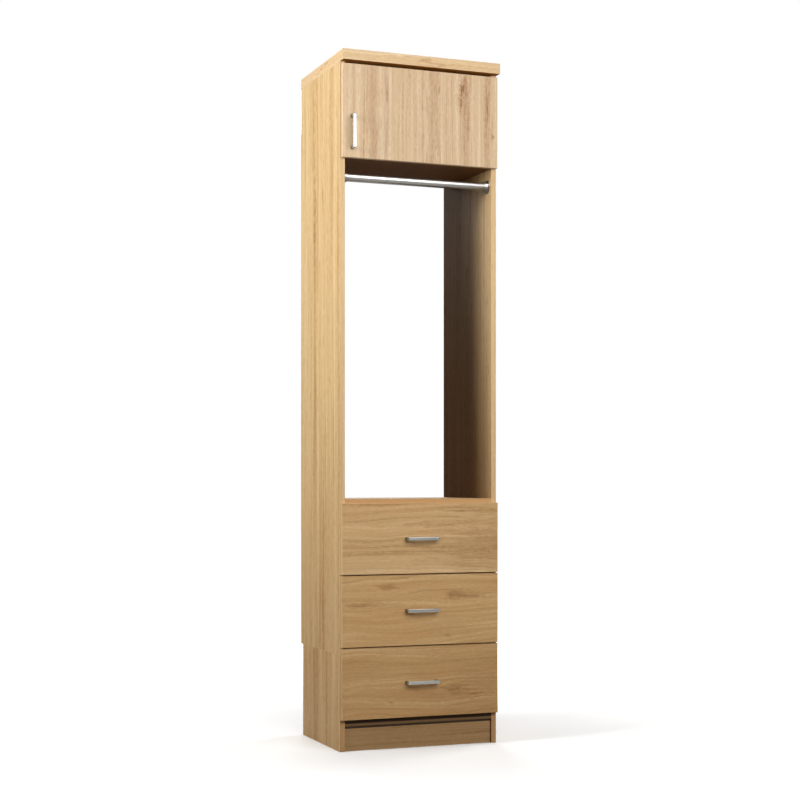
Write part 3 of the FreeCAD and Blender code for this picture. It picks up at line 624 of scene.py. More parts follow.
        # Lighter edges on the oak: partly wear, partly a painted highlight.
        colour = graph.blend(edge * fibres.between(0.3, 0.7, 0.25, 0.6), colour, self.tone.light)
        colour, sheen = self.shade_faces(graph, colour, on_band)
        graph.set("Base Color", colour)
        graph.set("Roughness", streaks * self.streak_roughness + pores * self.pore_roughness + self.roughness)
        graph.set("Specular IOR Level", sheen)
        graph.bump(fibres * self.fibre_relief - pores, self.relief, normal)
        return graph.material


@dataclass(frozen=True)
class Hardboard:
    """Thin fibreboard with a plain brown print: short fibres that lie every way."""

    name: str
    colour: Colour
    fibre: Colour
    cloud_scale: Place = (9.0, 9.0, 9.0)  # clouds per metre
    fibre_scale: Place = (420.0, 420.0, 900.0)  # fibres per metre
    fibre_share: float = 0.7  # how much of the tone the fibres make, beside the clouds
    edge_radius: float = 0.0005
    worn: float = 0.4  # how much the edges take on the fibres' own colour
    roughness: tuple[float, float] = (0.55, 0.75)
    relief: float = 0.00008

    def build(self) -> Material:
        """Make the material.

        Returns:
            The material.
        """
        graph = Finish(self.name)
        place = graph.coordinates.outputs["Object"]
        clouds = graph.noise(place, self.cloud_scale, (0.3, 1.1, 2.7), 3.0)
        fibres = graph.noise(place, self.fibre_scale, (5.0, 1.0, 2.0), 2.0, 0.7)
        tone = clouds * (1.0 - self.fibre_share) + fibres * self.fibre_share
        colour = graph.ramp(tone, [(0.25, self.fibre), (0.75, self.colour)])
        normal, edge = graph.edges(self.edge_radius)
        graph.set("Base Color", graph.blend(edge * self.worn, colour, self.fibre))
        graph.set("Roughness", fibres.between(0.2, 0.8, *self.roughness))
        graph.bump(fibres, self.relief, normal)
        return graph.material


@dataclass(frozen=True)
class BrushedMetal:
    """Metal with a fine lengthwise brushing, wear on its edges and a slightly uneven sheen."""

    name: str
    colour: Colour
    bright: Colour
    brushing: Axis
    smooth: float  # roughness where the metal is smoothest
    rough: float  # roughness where it is dullest
    depth: float = 0.000004  # of the brushing
    underside_shade: float = 0.0  # how much painted shade darkens the lower side against the upper one
    leg_shade: float = 0.0  # how much painted shade darkens a handle's legs towards the front that they stand on
    cut: float = 0.0  # how much painted shade darkens the faces square to the brushing, such as a flange's mouth
    lean: float = 0.0  # how far the brushing tips the sheen upwards
    lines_across: float = 900.0  # brushed lines per metre
    lines_along: float = 12.0  # features per metre along them
    clouded: float = 60.0  # patches of sheen per metre
    edge_radius: float = 0.0003
    shine: float = 0.5  # how much of the bright colour the sheen and the edges bring in
    # colour of the painted shade on the lower side and on the end faces
    painted_shade_tint: Colour = shade(92, 86, 80)
    # colour of the legs' painted shade
    leg_shade_tint: Colour = shade(74, 60, 44)
    leg_shade_depths: tuple[float, float] = (-0.2050, -0.1940)  # where the legs' painted shade starts and is full
    underside_shade_facing: tuple[float, float] = (0.55, -0.55)  # how far up a face looks, from no painted shade on the lower side to full
    end_shade_facing: tuple[float, float] = (0.6, 0.95)  # how squarely a face ends the brushing, from no painted shade to full

    def build(self) -> Material:
        """Make the material.

        Returns:
            The material.
        """
        graph = Finish(self.name)
        scale = [self.lines_across] * 3
        scale[self.brushing] = self.lines_along
        place = graph.coordinates.outputs["Object"]
        lines = graph.noise(place, tuple(scale), (0.0, 3.0, 1.0))
        clouds = graph.noise(place, (self.clouded,) * 3, (1.0, 2.0, 3.0))
        normal, edge = graph.edges(self.edge_radius)
        if self.lean:
            normal = graph.stretched(normal, (1.0, 1.0, 1.0), (0.0, 0.0, -self.lean))
        sheen = (lines + clouds).between(0.6, 1.4)
        colour = graph.blend(sheen * self.shine, self.colour, self.bright)
        colour = graph.blend(edge * self.shine, colour, self.bright)
        # Painted shade on the lower side, on handle legs near the front and on end faces.
        for value, ends, share, tint in (
                (graph.facing[Axis.Z], self.underside_shade_facing, self.underside_shade, self.painted_shade_tint),
                (graph.place[Axis.Y], self.leg_shade_depths, self.leg_shade, self.leg_shade_tint),
                (abs(graph.facing[self.brushing]), self.end_shade_facing, self.cut, self.painted_shade_tint)):
            if share:
                colour = graph.blend(value.between(*ends, 0.0, share), colour, tint)
        graph.set("Base Color", colour)
        graph.set("Metallic", 1.0)
        graph.set("Roughness", sheen.pick(self.rough, self.smooth))
        graph.bump(lines, self.depth, normal)
        return graph.material


@dataclass(frozen=True)
class ClearPad:
    """Soft clear plastic, cloudy and slightly dusty."""

    name: str
    colour: Colour
    dusty: Colour = shade(200, 198, 190)
    dust_scale: Place = (700.0, 700.0, 700.0)  # specks per metre
    dustiness: float = 0.5  # how much of the dust's colour shows
    clearness: float = 0.35
    edge_radius: float = 0.0004
    edge_roughness: float = 0.55
    roughness: tuple[float, float] = (0.25, 0.5)  # where it is clean, and where dust lies
    relief: float = 0.00002

    def build(self) -> Material:
        """Make the material.

        Returns:
            The material.
        """
        graph = Finish(self.name)
        dust = graph.noise(graph.coordinates.outputs["Object"], self.dust_scale, (0.0, 0.0, 0.0), 3.0)
        normal, edge = graph.edges(self.edge_radius)
        graph.set("Base Color", graph.blend(dust * self.dustiness, self.colour, self.dusty))
        graph.set("Roughness", edge.pick(dust.between(0.3, 0.7, *self.roughness), self.edge_roughness))
        graph.set("Transmission Weight", self.clearness)
        graph.bump(dust, self.relief, normal)
        return graph.material


SIDE_TONE = OakTone(shade(186, 145, 92), shade(219, 185, 132), shade(233, 204, 154), shade(162, 111, 60))
DOOR_TONE = OakTone(shade(184, 145, 104), shade(217, 187, 150), shade(233, 209, 175), shade(150, 97, 58))
TOP_TONE = OakTone(shade(200, 160, 112), shade(224, 191, 145), shade(242, 216, 176), shade(168, 113, 70))
SHELF_TONE = OakTone(shade(176, 134, 88), shade(203, 163, 114), shade(222, 188, 142), shade(146, 100, 58))
# The toe kick's darker tone is painted shade for its recess.
KICK_SHADE_TONE = OakTone(shade(146, 110, 70), shade(177, 140, 96), shade(200, 165, 120), shade(120, 82, 48))
BOX_TONE = OakTone(shade(190, 158, 116), shade(212, 183, 141), shade(228, 203, 165), shade(160, 122, 82))
FRONT_TONES = {
    1: OakTone(shade(182, 142, 93), shade(212, 174, 124), shade(232, 199, 152), shade(144, 98, 54)),
    2: OakTone(shade(174, 133, 84), shade(206, 165, 112), shade(229, 194, 144), shade(140, 94, 52)),
    3: OakTone(shade(166, 126, 78), shade(199, 158, 106), shade(224, 188, 138), shade(134, 90, 48)),
}

SIDE_MARKS = (
    Mark(1.722, -0.007, 0.0050, 8.0, 0.60),
    Mark(1.627, 0.077, 0.0055, 8.0, 0.50),
    Mark(1.497, 0.025, 0.0045, 7.0, 0.55),
    Mark(1.790, 0.072, 0.0120, 14.0, 0.22),
    Mark(0.665, -0.023, 0.0050, 9.0, 0.60),
    Mark(0.459, 0.066, 0.0045, 9.0, 0.55),
    Mark(0.418, -0.004, 0.0055, 9.0, 0.60),
)
BASE_MARKS = (
    Mark(0.247, 0.126, 0.0050, 7.0, 0.55),
    Mark(0.104, 0.017, 0.0045, 8.0, 0.50),
)
DOOR_MARKS = (
    Mark(1.960, -0.161, 0.0190, 30.0, 0.38, pull=0.0),
    Mark(1.960, -0.115, 0.0110, 30.0, 0.22, pull=0.0),
    Mark(1.950, 0.037, 0.0200, 30.0, 0.40, pull=0.0),
    Mark(1.930, 0.148, 0.0180, 30.0, 0.32, pull=0.0),
    Mark(1.950, 0.226, 0.0120, 30.0, 0.17, pull=0.0),
    Mark(2.007, -0.113, 0.0026, 12.0, 0.70),
    Mark(2.036, 0.057, 0.0040, 5.0, 0.65),
    Mark(2.048, 0.137, 0.0080, 2.6, 1.00, 0.50),
    Mark(2.005, 0.130, 0.0045, 2.2, 0.45, 0.40),
    Mark(2.000, 0.223, 0.0036, 16.0, 0.75),
    Mark(1.905, 0.243, 0.0042, 2.6, 0.85),
)
DOOR_ARCHES = (
    Arches(1.920, 0.147, 0.080, 0.016, 0.020, 300.0, 0.36),
    Arches(2.000, 0.136, 0.030, 0.014, 0.013, 420.0, 0.30),
)
FRONT_MARKS = {
    1: (
        Mark(0.020, 0.690, 0.0080, 12.0, 0.25),
        Mark(0.162, 0.732, 0.0045, 9.0, 0.45),
        # painted shade: a broad dark patch on the front's right side
        Mark(0.240, 0.640, 0.0900, 2.2, 0.38, pull=0.0),
    ),
    2: (
        Mark(-0.113, 0.499, 0.0095, 3.4, 0.60, 0.05),
        Mark(0.118, 0.471, 0.0100, 4.6, 0.54, 0.05),
        Mark(0.162, 0.464, 0.0035, 9.0, 0.65),
        Mark(0.089, 0.346, 0.0032, 2.5, 0.75),
        Mark(-0.212, 0.445, 0.0070, 9.0, 0.50),
        Mark(-0.056, 0.527, 0.0040, 9.0, 0.45),
        Mark(0.180, 0.472, 0.0150, 7.0, 0.26, pull=0.0),
        Mark(-0.170, 0.447, 0.0110, 9.0, 0.22, pull=0.0),
    ),
    3: (
        Mark(0.114, 0.178, 0.0130, 4.2, 0.52, 0.05),
        Mark(0.175, 0.162, 0.0050, 4.0, 0.60),
        Mark(-0.102, 0.146, 0.0032, 3.0, 0.75),
        # painted shade: a broad dark patch on the front's right side
        Mark(0.240, 0.190, 0.0900, 2.2, 0.22, pull=0.0),
    ),
}
TOP_MARKS = (
    Mark(0.010, 2.121, 0.0060, 3.5, 0.70),
    Mark(0.052, 2.114, 0.0040, 7.0, 0.55),
    Mark(-0.040, 2.126, 0.0030, 9.0, 0.40),
)


class Palette:
    """The materials that several pieces share, each made once."""

    def __init__(self) -> None:
        """Make them."""
        # The drawer handles' nickel is a darker copy of the door handle's, as painted shade; both handles'
        # legs take painted shade near the front.
        handle = BrushedMetal("nickel_drawer_handle", shade(158, 158, 153), shade(180, 180, 176), Axis.X,
                              0.26, 0.36, leg_shade=0.75)
        # The rod's lower side takes painted shade.
        rod = BrushedMetal("chrome_rod", shade(226, 225, 222), shade(240, 240, 238), Axis.X, 0.30, 0.38,
                           depth=0.000001, underside_shade=0.75, lean=0.20)
        screw = BrushedMetal("zinc_screw", shade(196, 197, 196), shade(225, 226, 226), Axis.X, 0.22, 0.40)
        slide = BrushedMetal("zinc_slide", shade(186, 190, 194), shade(214, 218, 222), Axis.Y, 0.26, 0.42)
        hinge = BrushedMetal("nickel_hinge", shade(184, 181, 174), shade(216, 214, 209), Axis.Y, 0.16, 0.30)
        self.drawer_handle = handle.build()
        self.door_handle = replace(handle, name="nickel_door_handle", colour=shade(178, 177, 173),
                                   bright=shade(200, 199, 196), brushing=Axis.Z, smooth=0.34,
                                   rough=0.44).build()
        self.screw = screw.build()
        self.slide = slide.build()
        self.hinge = hinge.build()
        self.rod = rod.build()
        # The flanges also take painted shade on their faces square to the brushing.
        self.flange = replace(rod, name="chrome_flange", colour=shade(196, 194, 190),
                              bright=shade(214, 212, 208), cut=0.25).build()
        self.tongue = OakLaminate("beech_tongue", Axis.Y, Axis.X, BOX_TONE, 71.0, 0.4).build()
        self.box_side = OakLaminate("oak_box_side", Axis.Y, Axis.X, BOX_TONE, 61.0, 0.7).build()
        self.box_back = OakLaminate("oak_box_back", Axis.X, Axis.Y, BOX_TONE, 64.0, 0.7).build()
        self.hardboard = Hardboard("brown_back", shade(180, 148, 110), shade(140, 108, 74)).build()
        self.pad = ClearPad("clear_pad", shade(228, 227, 221)).build()


# ------------------------------------------- Surfaces --------------------------------------------


@dataclass
class Shell:
    """Points and the faces between them, before they become a Blender mesh."""

    points: np.ndarray
    faces: list[list[int]]

    def __add__(self, other: "Shell") -> "Shell":
        """Put another shell beside this one."""
        moved = [[corner + len(self.points) for corner in face] for face in other.faces]
        return Shell(np.vstack([self.points, other.points]), self.faces + moved)


@dataclass(frozen=True)
class Seat:
    """A place on a line along one of the part's axes, and which way a piece faces there."""

    place: Vector
    axis: Axis
    facing: Side

    def lay(self, across: np.ndarray, up: np.ndarray, along: np.ndarray) -> np.ndarray:
        """Lay local coordinates out round the seat.

        Args:
            across: First coordinate square to the axis.
            up: Second coordinate square to the axis.
            along: Coordinate the way the piece faces.

        Returns:
            The points, with x, y and z last.
        """
        parts = [across, up]
        parts.insert(self.axis, along * self.facing)
        return np.stack(np.broadcast_arrays(*parts), axis=-1) + np.array(self.place)


def full_turn(steps: int) -> np.ndarray:
    """Angles at even steps round a full turn."""
    return np.linspace(0.0, 2.0 * math.pi, steps, endpoint=False)


def square_ring(steps: int, squareness: float) -> list[np.ndarray]:
    """Points of |p|^n + |q|^n = 1, with n the squareness: p is sign(cos t) |cos t|^(2 / n), q has sines."""
    waves = (np.cos(full_turn(steps)), np.sin(full_turn(steps)))
    return [np.sign(wave) * np.abs(wave) ** (2.0 / squareness) for wave in waves]


def grid_shell(grid: np.ndarray, closed_rows: bool = False) -> Shell:
    """Join a grid of points by four-cornered faces, with its last column joined to the first.

    Args:
        grid: Points as rows by columns by 3.
        closed_rows: Whether the last row joins the first. If not, both are closed by one face each.

    Returns:
        The shell.
    """
    rows, columns = grid.shape[:2]
    index = np.arange(rows * columns).reshape(rows, columns)
    index = np.hstack([index, index[:, :1]])
    if closed_rows:
        index = np.vstack([index, index[:1]])
    quads = np.stack([index[:-1, :-1], index[:-1, 1:], index[1:, 1:], index[1:, :-1]], axis=-1)
    faces = quads.reshape(-1, 4).tolist()
    if not closed_rows:
        faces.append(index[0, :-1][::-1].tolist())
        faces.append(index[-1, :-1].tolist())
    return Shell(grid.reshape(-1, 3), faces)


def revolved(corners: list[Place], steps: int, segments: int, seat: Seat) -> Shell:
    """Turn a closed profile with rounded corners round a seat's axis.

    Each corner (r, h, fillet) becomes a curve that starts and ends a fillet's length away from it on its
    two sides: start (1 - s)^2 + 2 corner s (1 - s) + end s^2. Each point (r, h) of the rounded profile
    becomes the ring (r cos t, r sin t, h).

    Args:
        corners: The profile's corners and how far each is rounded.
        steps: Points on each rounded corner.
        segments: Steps round the axis.
        seat: Where the profile's origin is.

    Returns:
        The shell.
    """
    points = np.array([corner[:2] for corner in corners])
    reach = np.array([corner[2] for corner in corners])[:, None]
    sides = [np.roll(points, turn, axis=0) - points for turn in (1, -1)]
    start, end = [points + side / np.linalg.norm(side, axis=1, keepdims=True) * reach for side in sides]
    share = np.linspace(0.0, 1.0, steps)[None, :, None]
    curve = (start[:, None] * (1 - share) ** 2 + 2 * points[:, None] * share * (1 - share)
             + end[:, None] * share**2)
    radius, height = curve.reshape(-1, 2).T[..., None]
    turn = full_turn(segments)
    return grid_shell(seat.lay(radius * np.cos(turn), radius * np.sin(turn), height), closed_rows=True)


def add_object(name: str, data: bpy.types.ID) -> bpy.types.Object:
    """Put a mesh, a lamp or a camera into the scene, at the origin.

    Args:
        name: The object's name.
        data: What it shows.

    Returns:
        The object.
    """
    item = bpy.data.objects.new(name, data)
    bpy.context.scene.collection.objects.link(item)
    return item


def make_piece(name: str, shell: Shell, finish: Material, body: str, slot: str, *nodes: str) -> None:
    """Make a piece, with merged seams and faces that point outwards, that stands for CAD nodes.

    Args:
        name: The piece's name.
        shell: Its surface.
        finish: Its material.
        body: The body that it rides on.
        slot: Not used.
        *nodes: The nodes.
    """
    mesh = bpy.data.meshes.new(name)
    mesh.from_pydata(shell.points.tolist(), [], shell.faces)
    work = bmesh.new()
    work.from_mesh(mesh)
    bmesh.ops.remove_doubles(work, verts=work.verts, dist=1e-6)
    bmesh.ops.recalc_face_normals(work, faces=work.faces)
    work.to_mesh(mesh)
    work.free()
    mesh.materials.append(finish)
    mesh.polygons.foreach_set("use_smooth", np.ones(len(mesh.polygons), dtype=bool))
    mesh.set_sharp_from_angle(angle=SMOOTH_BELOW)
    mesh.update()
    piece = add_object(name, mesh)
    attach(piece, body)
    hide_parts(*nodes)
    LOG.info("made %s on %s, %d faces", name, body, len(mesh.polygons))


def dress(finish: Material, *nodes: str) -> None:
    """Give CAD nodes their material.

    Args:
        finish: The material.
        *nodes: The nodes.
    """
    for node in nodes:
        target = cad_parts[node]
        if not target.material_slots:
            target.data.materials.append(finish)
        for holder in target.material_slots:
            holder.material = finish
        LOG.info("dressed %s in %s", node, finish.name)


# ------------------------------------------- Fittings --------------------------------------------


@dataclass
class Screw:
    """A pan-head screw with a cross recess and a thread."""

    shank: float  # length under the head
    head_radius: float = 0.004
    head_height: float = 0.002
    core_radius: float = 0.0014
    thread_height: float = 0.0006
    pitch: float = 0.0009
    tip: float = 0.0015
    recess_reach: float = 0.0023
    recess_width: float = 0.00055
    recess_depth: float = 0.0011
    dome: float = 0.45  # how far the head falls towards its rim, as a share of its height
    recess_slope: float = 0.6  # how far the recess rises towards its tips, as a share of its depth
    turn_rings: int = 6  # rings of points for each turn of the thread

    def head(self, seat: Seat) -> Shell:
        """Make the head.

        A ring at share q of the radius stands at height H (1 - dome q^4). The recess takes
        D (1 - slope r / R) off it inside a cross whose arms fade out at their edges and tips. The rings lie
        closer together where the recess is.

        Args:
            seat: Where the underside of the head is, and which way it faces.

        Returns:
            The head.
        """
        share = np.concatenate([np.linspace(0.0, 0.62, 18), np.linspace(0.68, 1.0, 7)])[:, None]
        radius = share * self.head_radius
        across, up = radius * np.cos(full_turn(64)), radius * np.sin(full_turn(64))
        narrow = np.minimum(np.abs(across), np.abs(up))
        arm = np.clip((self.recess_width - narrow) / (0.35 * self.recess_width), 0.0, 1.0)
        reach = np.clip((self.recess_reach - radius) / (0.2 * self.recess_reach), 0.0, 1.0)
        depth = self.recess_depth * (1.0 - self.recess_slope * radius / self.recess_reach)
        height = self.head_height * (1.0 - self.dome * share**4) - arm * reach * depth
        top = np.stack([across, up, height], axis=-1)
        rim = top[-1:] * [1.0, 1.0, 0.0]
        under = rim * (self.core_radius / self.head_radius)
        return grid_shell(seat.lay(*np.moveaxis(np.concatenate([top, rim, under]), -1, 0)))

    def thread(self, seat: Seat) -> Shell:
        """Make the threaded shank.

        At depth d and angle t its radius is core + ridge |2 frac(d / pitch + t / 2 pi) - 1|^2, shrunk
        towards the tip over the last stretch.

        Args:
            seat: Where the underside of the head is, and which way it faces.

        Returns:
            The shank.
        """
        turn = full_turn(24)
        rings = int(self.shank / self.pitch * self.turn_rings) + 1
        depth = np.linspace(0.0, self.shank, rings)[:, None]
        phase = np.mod(depth / self.pitch + turn[None, :] / (2.0 * math.pi), 1.0)
        ridge = self.thread_height * np.abs(2.0 * phase - 1.0) ** 2
        taper = np.clip((self.shank - depth) / self.tip, 0.05, 1.0)
        radius = (self.core_radius + ridge) * taper
        return grid_shell(seat.lay(radius * np.cos(turn), radius * np.sin(turn), -depth))

    def cut(self, *seats: Seat) -> Shell:
        """Make a whole screw on each seat."""
        first, *others = [self.head(seat) + self.thread(seat) for seat in seats]
        return sum(others, first)


@dataclass
class BarHandle:
    """A flat bar bent square at both ends, with softened edges."""

    node: str
    body: str
    finish: Material
    along: Axis  # the bar's own direction
    leg: float = 0.010
    bar: float = 0.008
    slim: float = 0.86  # the bar's width, as a share of its node's
    outer_bend: float = 0.0042
    inner_bend: float = 0.0012
    squareness: float = 9.0  # exponent of the section's outline

    def side_line(self, inset: float, bend: float, drop: float, length: float, reach: float) -> np.ndarray:
        """Draw one line of the side view: up a leg, round a quarter circle, along the bar and back down.

        Args:
            inset: How far from the handle's ends its legs are.
            bend: Radius of its quarter circles.
            drop: How far under the handle's outer face it runs.
            length: The handle's length.
            reach: How far the handle stands off its front.

        Returns:
            The points, as rows of place along the handle and distance from the front.
        """
        angle = np.linspace(0.0, math.pi / 2.0, 8)
        top = reach - drop
        leg = [[inset, share * reach] for share in (0.0, 0.25, 0.5)]
        arc = np.stack([inset + bend * (1.0 - np.cos(angle)), top - bend * (1.0 - np.sin(angle))], axis=1)
        half = np.vstack([leg, arc, [[0.5 * length, top]]])
        return np.vstack([half, half[-2::-1] * [-1.0, 1.0] + [length, 0.0]])

    def build(self) -> None:
        """Carry the bar's section along its bent path.

        Station k has an outer and an inner point of the side view; the section between them is a square
        ring, with p from the inner to the outer point and q across the bar.
        """
        low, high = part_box(self.node)
        length = high[self.along] - low[self.along]
        reach = high.y - low.y
        outer = self.side_line(0.0, self.outer_bend, 0.0, length, reach)
        inner = self.side_line(self.leg, self.inner_bend, self.bar, length, reach)
        p, q = square_ring(56, self.squareness)
        side_view = ((outer + inner)[:, None] + (outer - inner)[:, None] * p[None, :, None]) / 2.0
        across = Axis.X if self.along is Axis.Z else Axis.Z
        room = high[across] - low[across]
        width = self.slim * room
        centre = low[across] + 0.5 * (room if self.along is Axis.Z else width)
        points = np.zeros((len(outer), len(q), 3))
        points[..., self.along] = low[self.along] + side_view[..., 0]
        points[..., 1] = high.y - side_view[..., 1]
        points[..., across] = centre + 0.5 * width * q
        make_piece(self.node + "_bar", grid_shell(points), self.finish, self.body, "satin_nickel", self.node)


@dataclass
class FrontScrews:
    """The two screws from inside a front into its handle."""

    node: str
    body: str
    finish: Material
    screw: Screw = field(default_factory=lambda: Screw(shank=0.024, pitch=0.0008))

    def build(self) -> None:
        """Make both screws at the ends of their CAD node's box."""
        low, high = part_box(self.node)
        radius = self.screw.head_radius
        under = high.y - self.screw.head_height
        places = ((low.x + radius, under, low.z + radius), (high.x - radius, under, high.z - radius))
        shell = self.screw.cut(*[Seat(Vector(place), Axis.Y, Side.TOWARDS) for place in places])
        make_piece(self.node + "_cut", shell, self.finish, self.body, "zinc_screw", self.node)


@dataclass
class HangingRod:
    """The chromed tube, its two flanges and the screw in each flange."""

    palette: Palette
    plate: float = 0.003
    socket_depth: float = 0.016
    socket_radius: float = 0.0150
    bore_radius: float = 0.0128
    hole_radius: float = 0.0022
    tube_wall: float = 0.0012
    segments: int = 96
    screw: Screw = field(default_factory=lambda: Screw(shank=0.0155, pitch=0.0015))

    def flange(self, seat: Seat, radius: float) -> Shell:
        """Turn a flange: a dished plate, a stepped socket with a rolled lip, and a hole in its floor.

        Args:
            seat: The middle of its plate's back, and which way the socket looks.
            radius: The plate's radius.

        Returns:
            The flange.
        """
        corners = [
            (self.hole_radius, 0.0, 0.0002),
            (radius, 0.0, 0.0004),
            (radius, self.plate * 0.65, 0.0009),
            (self.socket_radius + 0.0028, self.plate, 0.0012),
            (self.socket_radius + 0.0008, self.plate + 0.0012, 0.0009),
            (self.socket_radius, self.socket_depth * 0.55, 0.0008),
            (self.socket_radius, self.socket_depth, 0.0008),
            (self.bore_radius, self.socket_depth, 0.0005),
            (self.bore_radius, self.plate, 0.0006),
            (self.hole_radius, self.plate, 0.0003),
        ]
        return revolved(corners, 5, self.segments, seat)

    def build(self) -> None:
        """Make the tube, the flanges and their screws."""
        low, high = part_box("hanging_rod")
        radius = (high.z - low.z) / 2.0
        middle = ((low.y + high.y) / 2.0, (low.z + high.z) / 2.0)
        inner, length = radius - self.tube_wall, high.x - low.x
        corners = [(inner, 0.0, 0.0001), (radius, 0.0, 0.0003), (radius, length, 0.0003),
                   (inner, length, 0.0001)]
        tube = revolved(corners, 4, self.segments, Seat(Vector((low.x, *middle)), Axis.X, Side.TOWARDS))
        make_piece("rod_tube", tube, self.palette.rod, "carcass", "chrome_rod", "hanging_rod")
        low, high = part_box("rod_flanges")
        ends = ((low.x, Side.TOWARDS), (high.x, Side.AWAY))
        left, right = [self.flange(Seat(Vector((x, *middle)), Axis.X, facing), (high.z - low.z) / 2.0)
                       for x, facing in ends]
        make_piece("rod_sockets", left + right, self.palette.flange, "carcass", "chrome_flange",
                   "rod_flanges")
        seats = [Seat(Vector((x + facing * self.plate, *middle)), Axis.X, facing) for x, facing in ends]
        make_piece("rod_screws", self.screw.cut(*seats), self.palette.screw, "carcass", "zinc_screw",
                   "flange_screws")


@dataclass
class HingePair:
    """The two concealed hinges: dressed CAD pieces, and the cut screws of their plates."""

    palette: Palette
    screw: Screw = field(default_factory=lambda: Screw(shank=0.0145, pitch=0.0015))
    screw_spacing: float = 0.032
    arm_height: float = 0.008

    def build(self) -> None:
        """Dress the hinges and make their plates' screws, above and below the middle of each arm."""
        dress(self.palette.hinge, "hinge_plates", "hinge_arms", "hinge_cups", "hinge_pins")
        arms_low, arms_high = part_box("hinge_arms")
        levels = (arms_low.z + self.arm_height / 2.0, arms_high.z - self.arm_height / 2.0)
        low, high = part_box("hinge_plate_screws")
        seats = [Seat(Vector((low.x + self.screw.head_height, (low.y + high.y) / 2.0,
                              level + sign * self.screw_spacing / 2.0)), Axis.X, Side.AWAY)
                 for level in levels for sign in (-1.0, 1.0)]
        make_piece("hinge_plate_cut_screws", self.screw.cut(*seats), self.palette.screw, "carcass",
                   "zinc_screw", "hinge_plate_screws")


@dataclass
class Bumpers:
    """Two soft pads on the door's inner face."""

    finish: Material
    width: float = 0.008
    squareness: float = 6.0  # exponent of their outline

    def build(self) -> None:
        """Make both pads: square rings at share s of the width and height h (1 - 0.55 s^6), a low crown."""
        low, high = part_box("door_bumpers")
        share = np.linspace(0.0, 1.0, 10)[:, None]
        across, up = [share * wave * self.width / 2.0 for wave in square_ring(40, self.squareness)]
        height = (high.y - low.y) * (1.0 - 0.55 * share**6) + np.zeros_like(across)
        crown = np.stack([across, height, up], axis=-1)
        pad = np.concatenate([crown, crown[-1:] * [1.0, 0.0, 1.0]])
        middle = (low.x + high.x) / 2.0
        lower, upper = [grid_shell(pad + [middle, low.y, level])
                        for level in (low.z + self.width / 2.0, high.z - self.width / 2.0)]
        make_piece("door_pads", lower + upper, self.finish, "door", "clear_bumper", "door_bumpers")


# ------------------------------------------ Assemblies -------------------------------------------


@dataclass
class Carcass:
    """The fixed boards and backs."""

    palette: Palette
    # The base boards and, through them, the side panels take painted shade towards the floor.
    base: OakLaminate = OakLaminate("oak_side_base", Axis.Z, Axis.X, SIDE_TONE, contrast=2.0,
                                    marks=BASE_MARKS, edge_share=0.5, wave=0.012, flecked=1.0, floor_shade=0.5)
    # The shelf's inner tint is the painted shade under the cabinet floor.
    shelf: OakLaminate = OakLaminate("oak_shelf", Axis.X, Axis.Z, SHELF_TONE, contrast=1.2,
                                     edge_tint=shade(196, 153, 104), edge_share=0.7, sheen=0.08,
                                     inner_shade_tint=shade(140, 124, 110))
    base_edge_shade_tint: Colour = shade(72, 49, 30)  # the base board's front edge, painted dark as shade under the lowest drawer front

    def build(self) -> None:
        """Dress each board, cut from its own place of the print."""
        # The side panels' inner faces take painted shade, deepest at the back and low down.
        panel = replace(self.base, marks=SIDE_MARKS, edge_tint=shade(226, 194, 150),
                        inner_shade_tint=shade(134, 118, 104))
        for number, (hand, inner) in enumerate(zip(HANDS, (Side.TOWARDS, Side.AWAY))):
            dress(replace(panel, name=f"oak_side_{hand}", cut=2.3 + 5.1 * number, inner=inner).build(),
                  f"side_panel_{hand}")
            dress(replace(self.base, name=f"oak_side_base_{hand}", cut=7.9 + 3.3 * number).build(),
                  f"side_base_{hand}")
        for finish in (
                # The undersides of the top and the cabinet floor take painted shade.
                OakLaminate("top_panel", Axis.X, Axis.Z, TOP_TONE, 11.3, 1.7, TOP_MARKS, edge_share=0.1,
                            wave=0.03, inner=Side.AWAY, inner_shade_tint=shade(196, 158, 104)),
                replace(self.shelf, name="cabinet_floor", cut=14.6, inner=Side.AWAY),
                replace(self.shelf, name="deck_board", cut=16.8),
                # The base board's front edge is painted dark as shade, and it and the toe kick carry painted
                # shadow lines.
                replace(self.shelf, name="base_board", cut=19.0, edge_tint=self.base_edge_shade_tint,
                        shadow_lines=((0.0845, 0.0945),)),
                OakLaminate("toe_kick", Axis.X, Axis.Y, KICK_SHADE_TONE, 21.4, 1.3, shadow_lines=((0.0685, 0.0780),)),
                OakLaminate("wall_rail", Axis.X, Axis.Y, SHELF_TONE, 23.1, 1.3)):
            dress(replace(finish, name=f"oak_{finish.name}").build(), finish.name)
        dress(self.palette.tongue, "top_tongues")
        dress(self.palette.hardboard, "cabinet_back", "drawer_back")


@dataclass
class Door:
    """The door with its handle, screws and pads."""

    palette: Palette
    panel: OakLaminate = OakLaminate("oak_door", Axis.Z, Axis.Y, DOOR_TONE, 31.0, 1.6, DOOR_MARKS,
                                     DOOR_ARCHES, edge_share=0.3, wave=0.010, broad=0.3)

    def build(self) -> None:
        """Dress the door and make its fittings."""
        dress(self.panel.build(), "door_panel")
        BarHandle("door_handle", "door", self.palette.door_handle, Axis.Z).build()
        FrontScrews("door_handle_screws", "door", self.palette.screw).build()
        Bumpers(self.palette.pad).build()


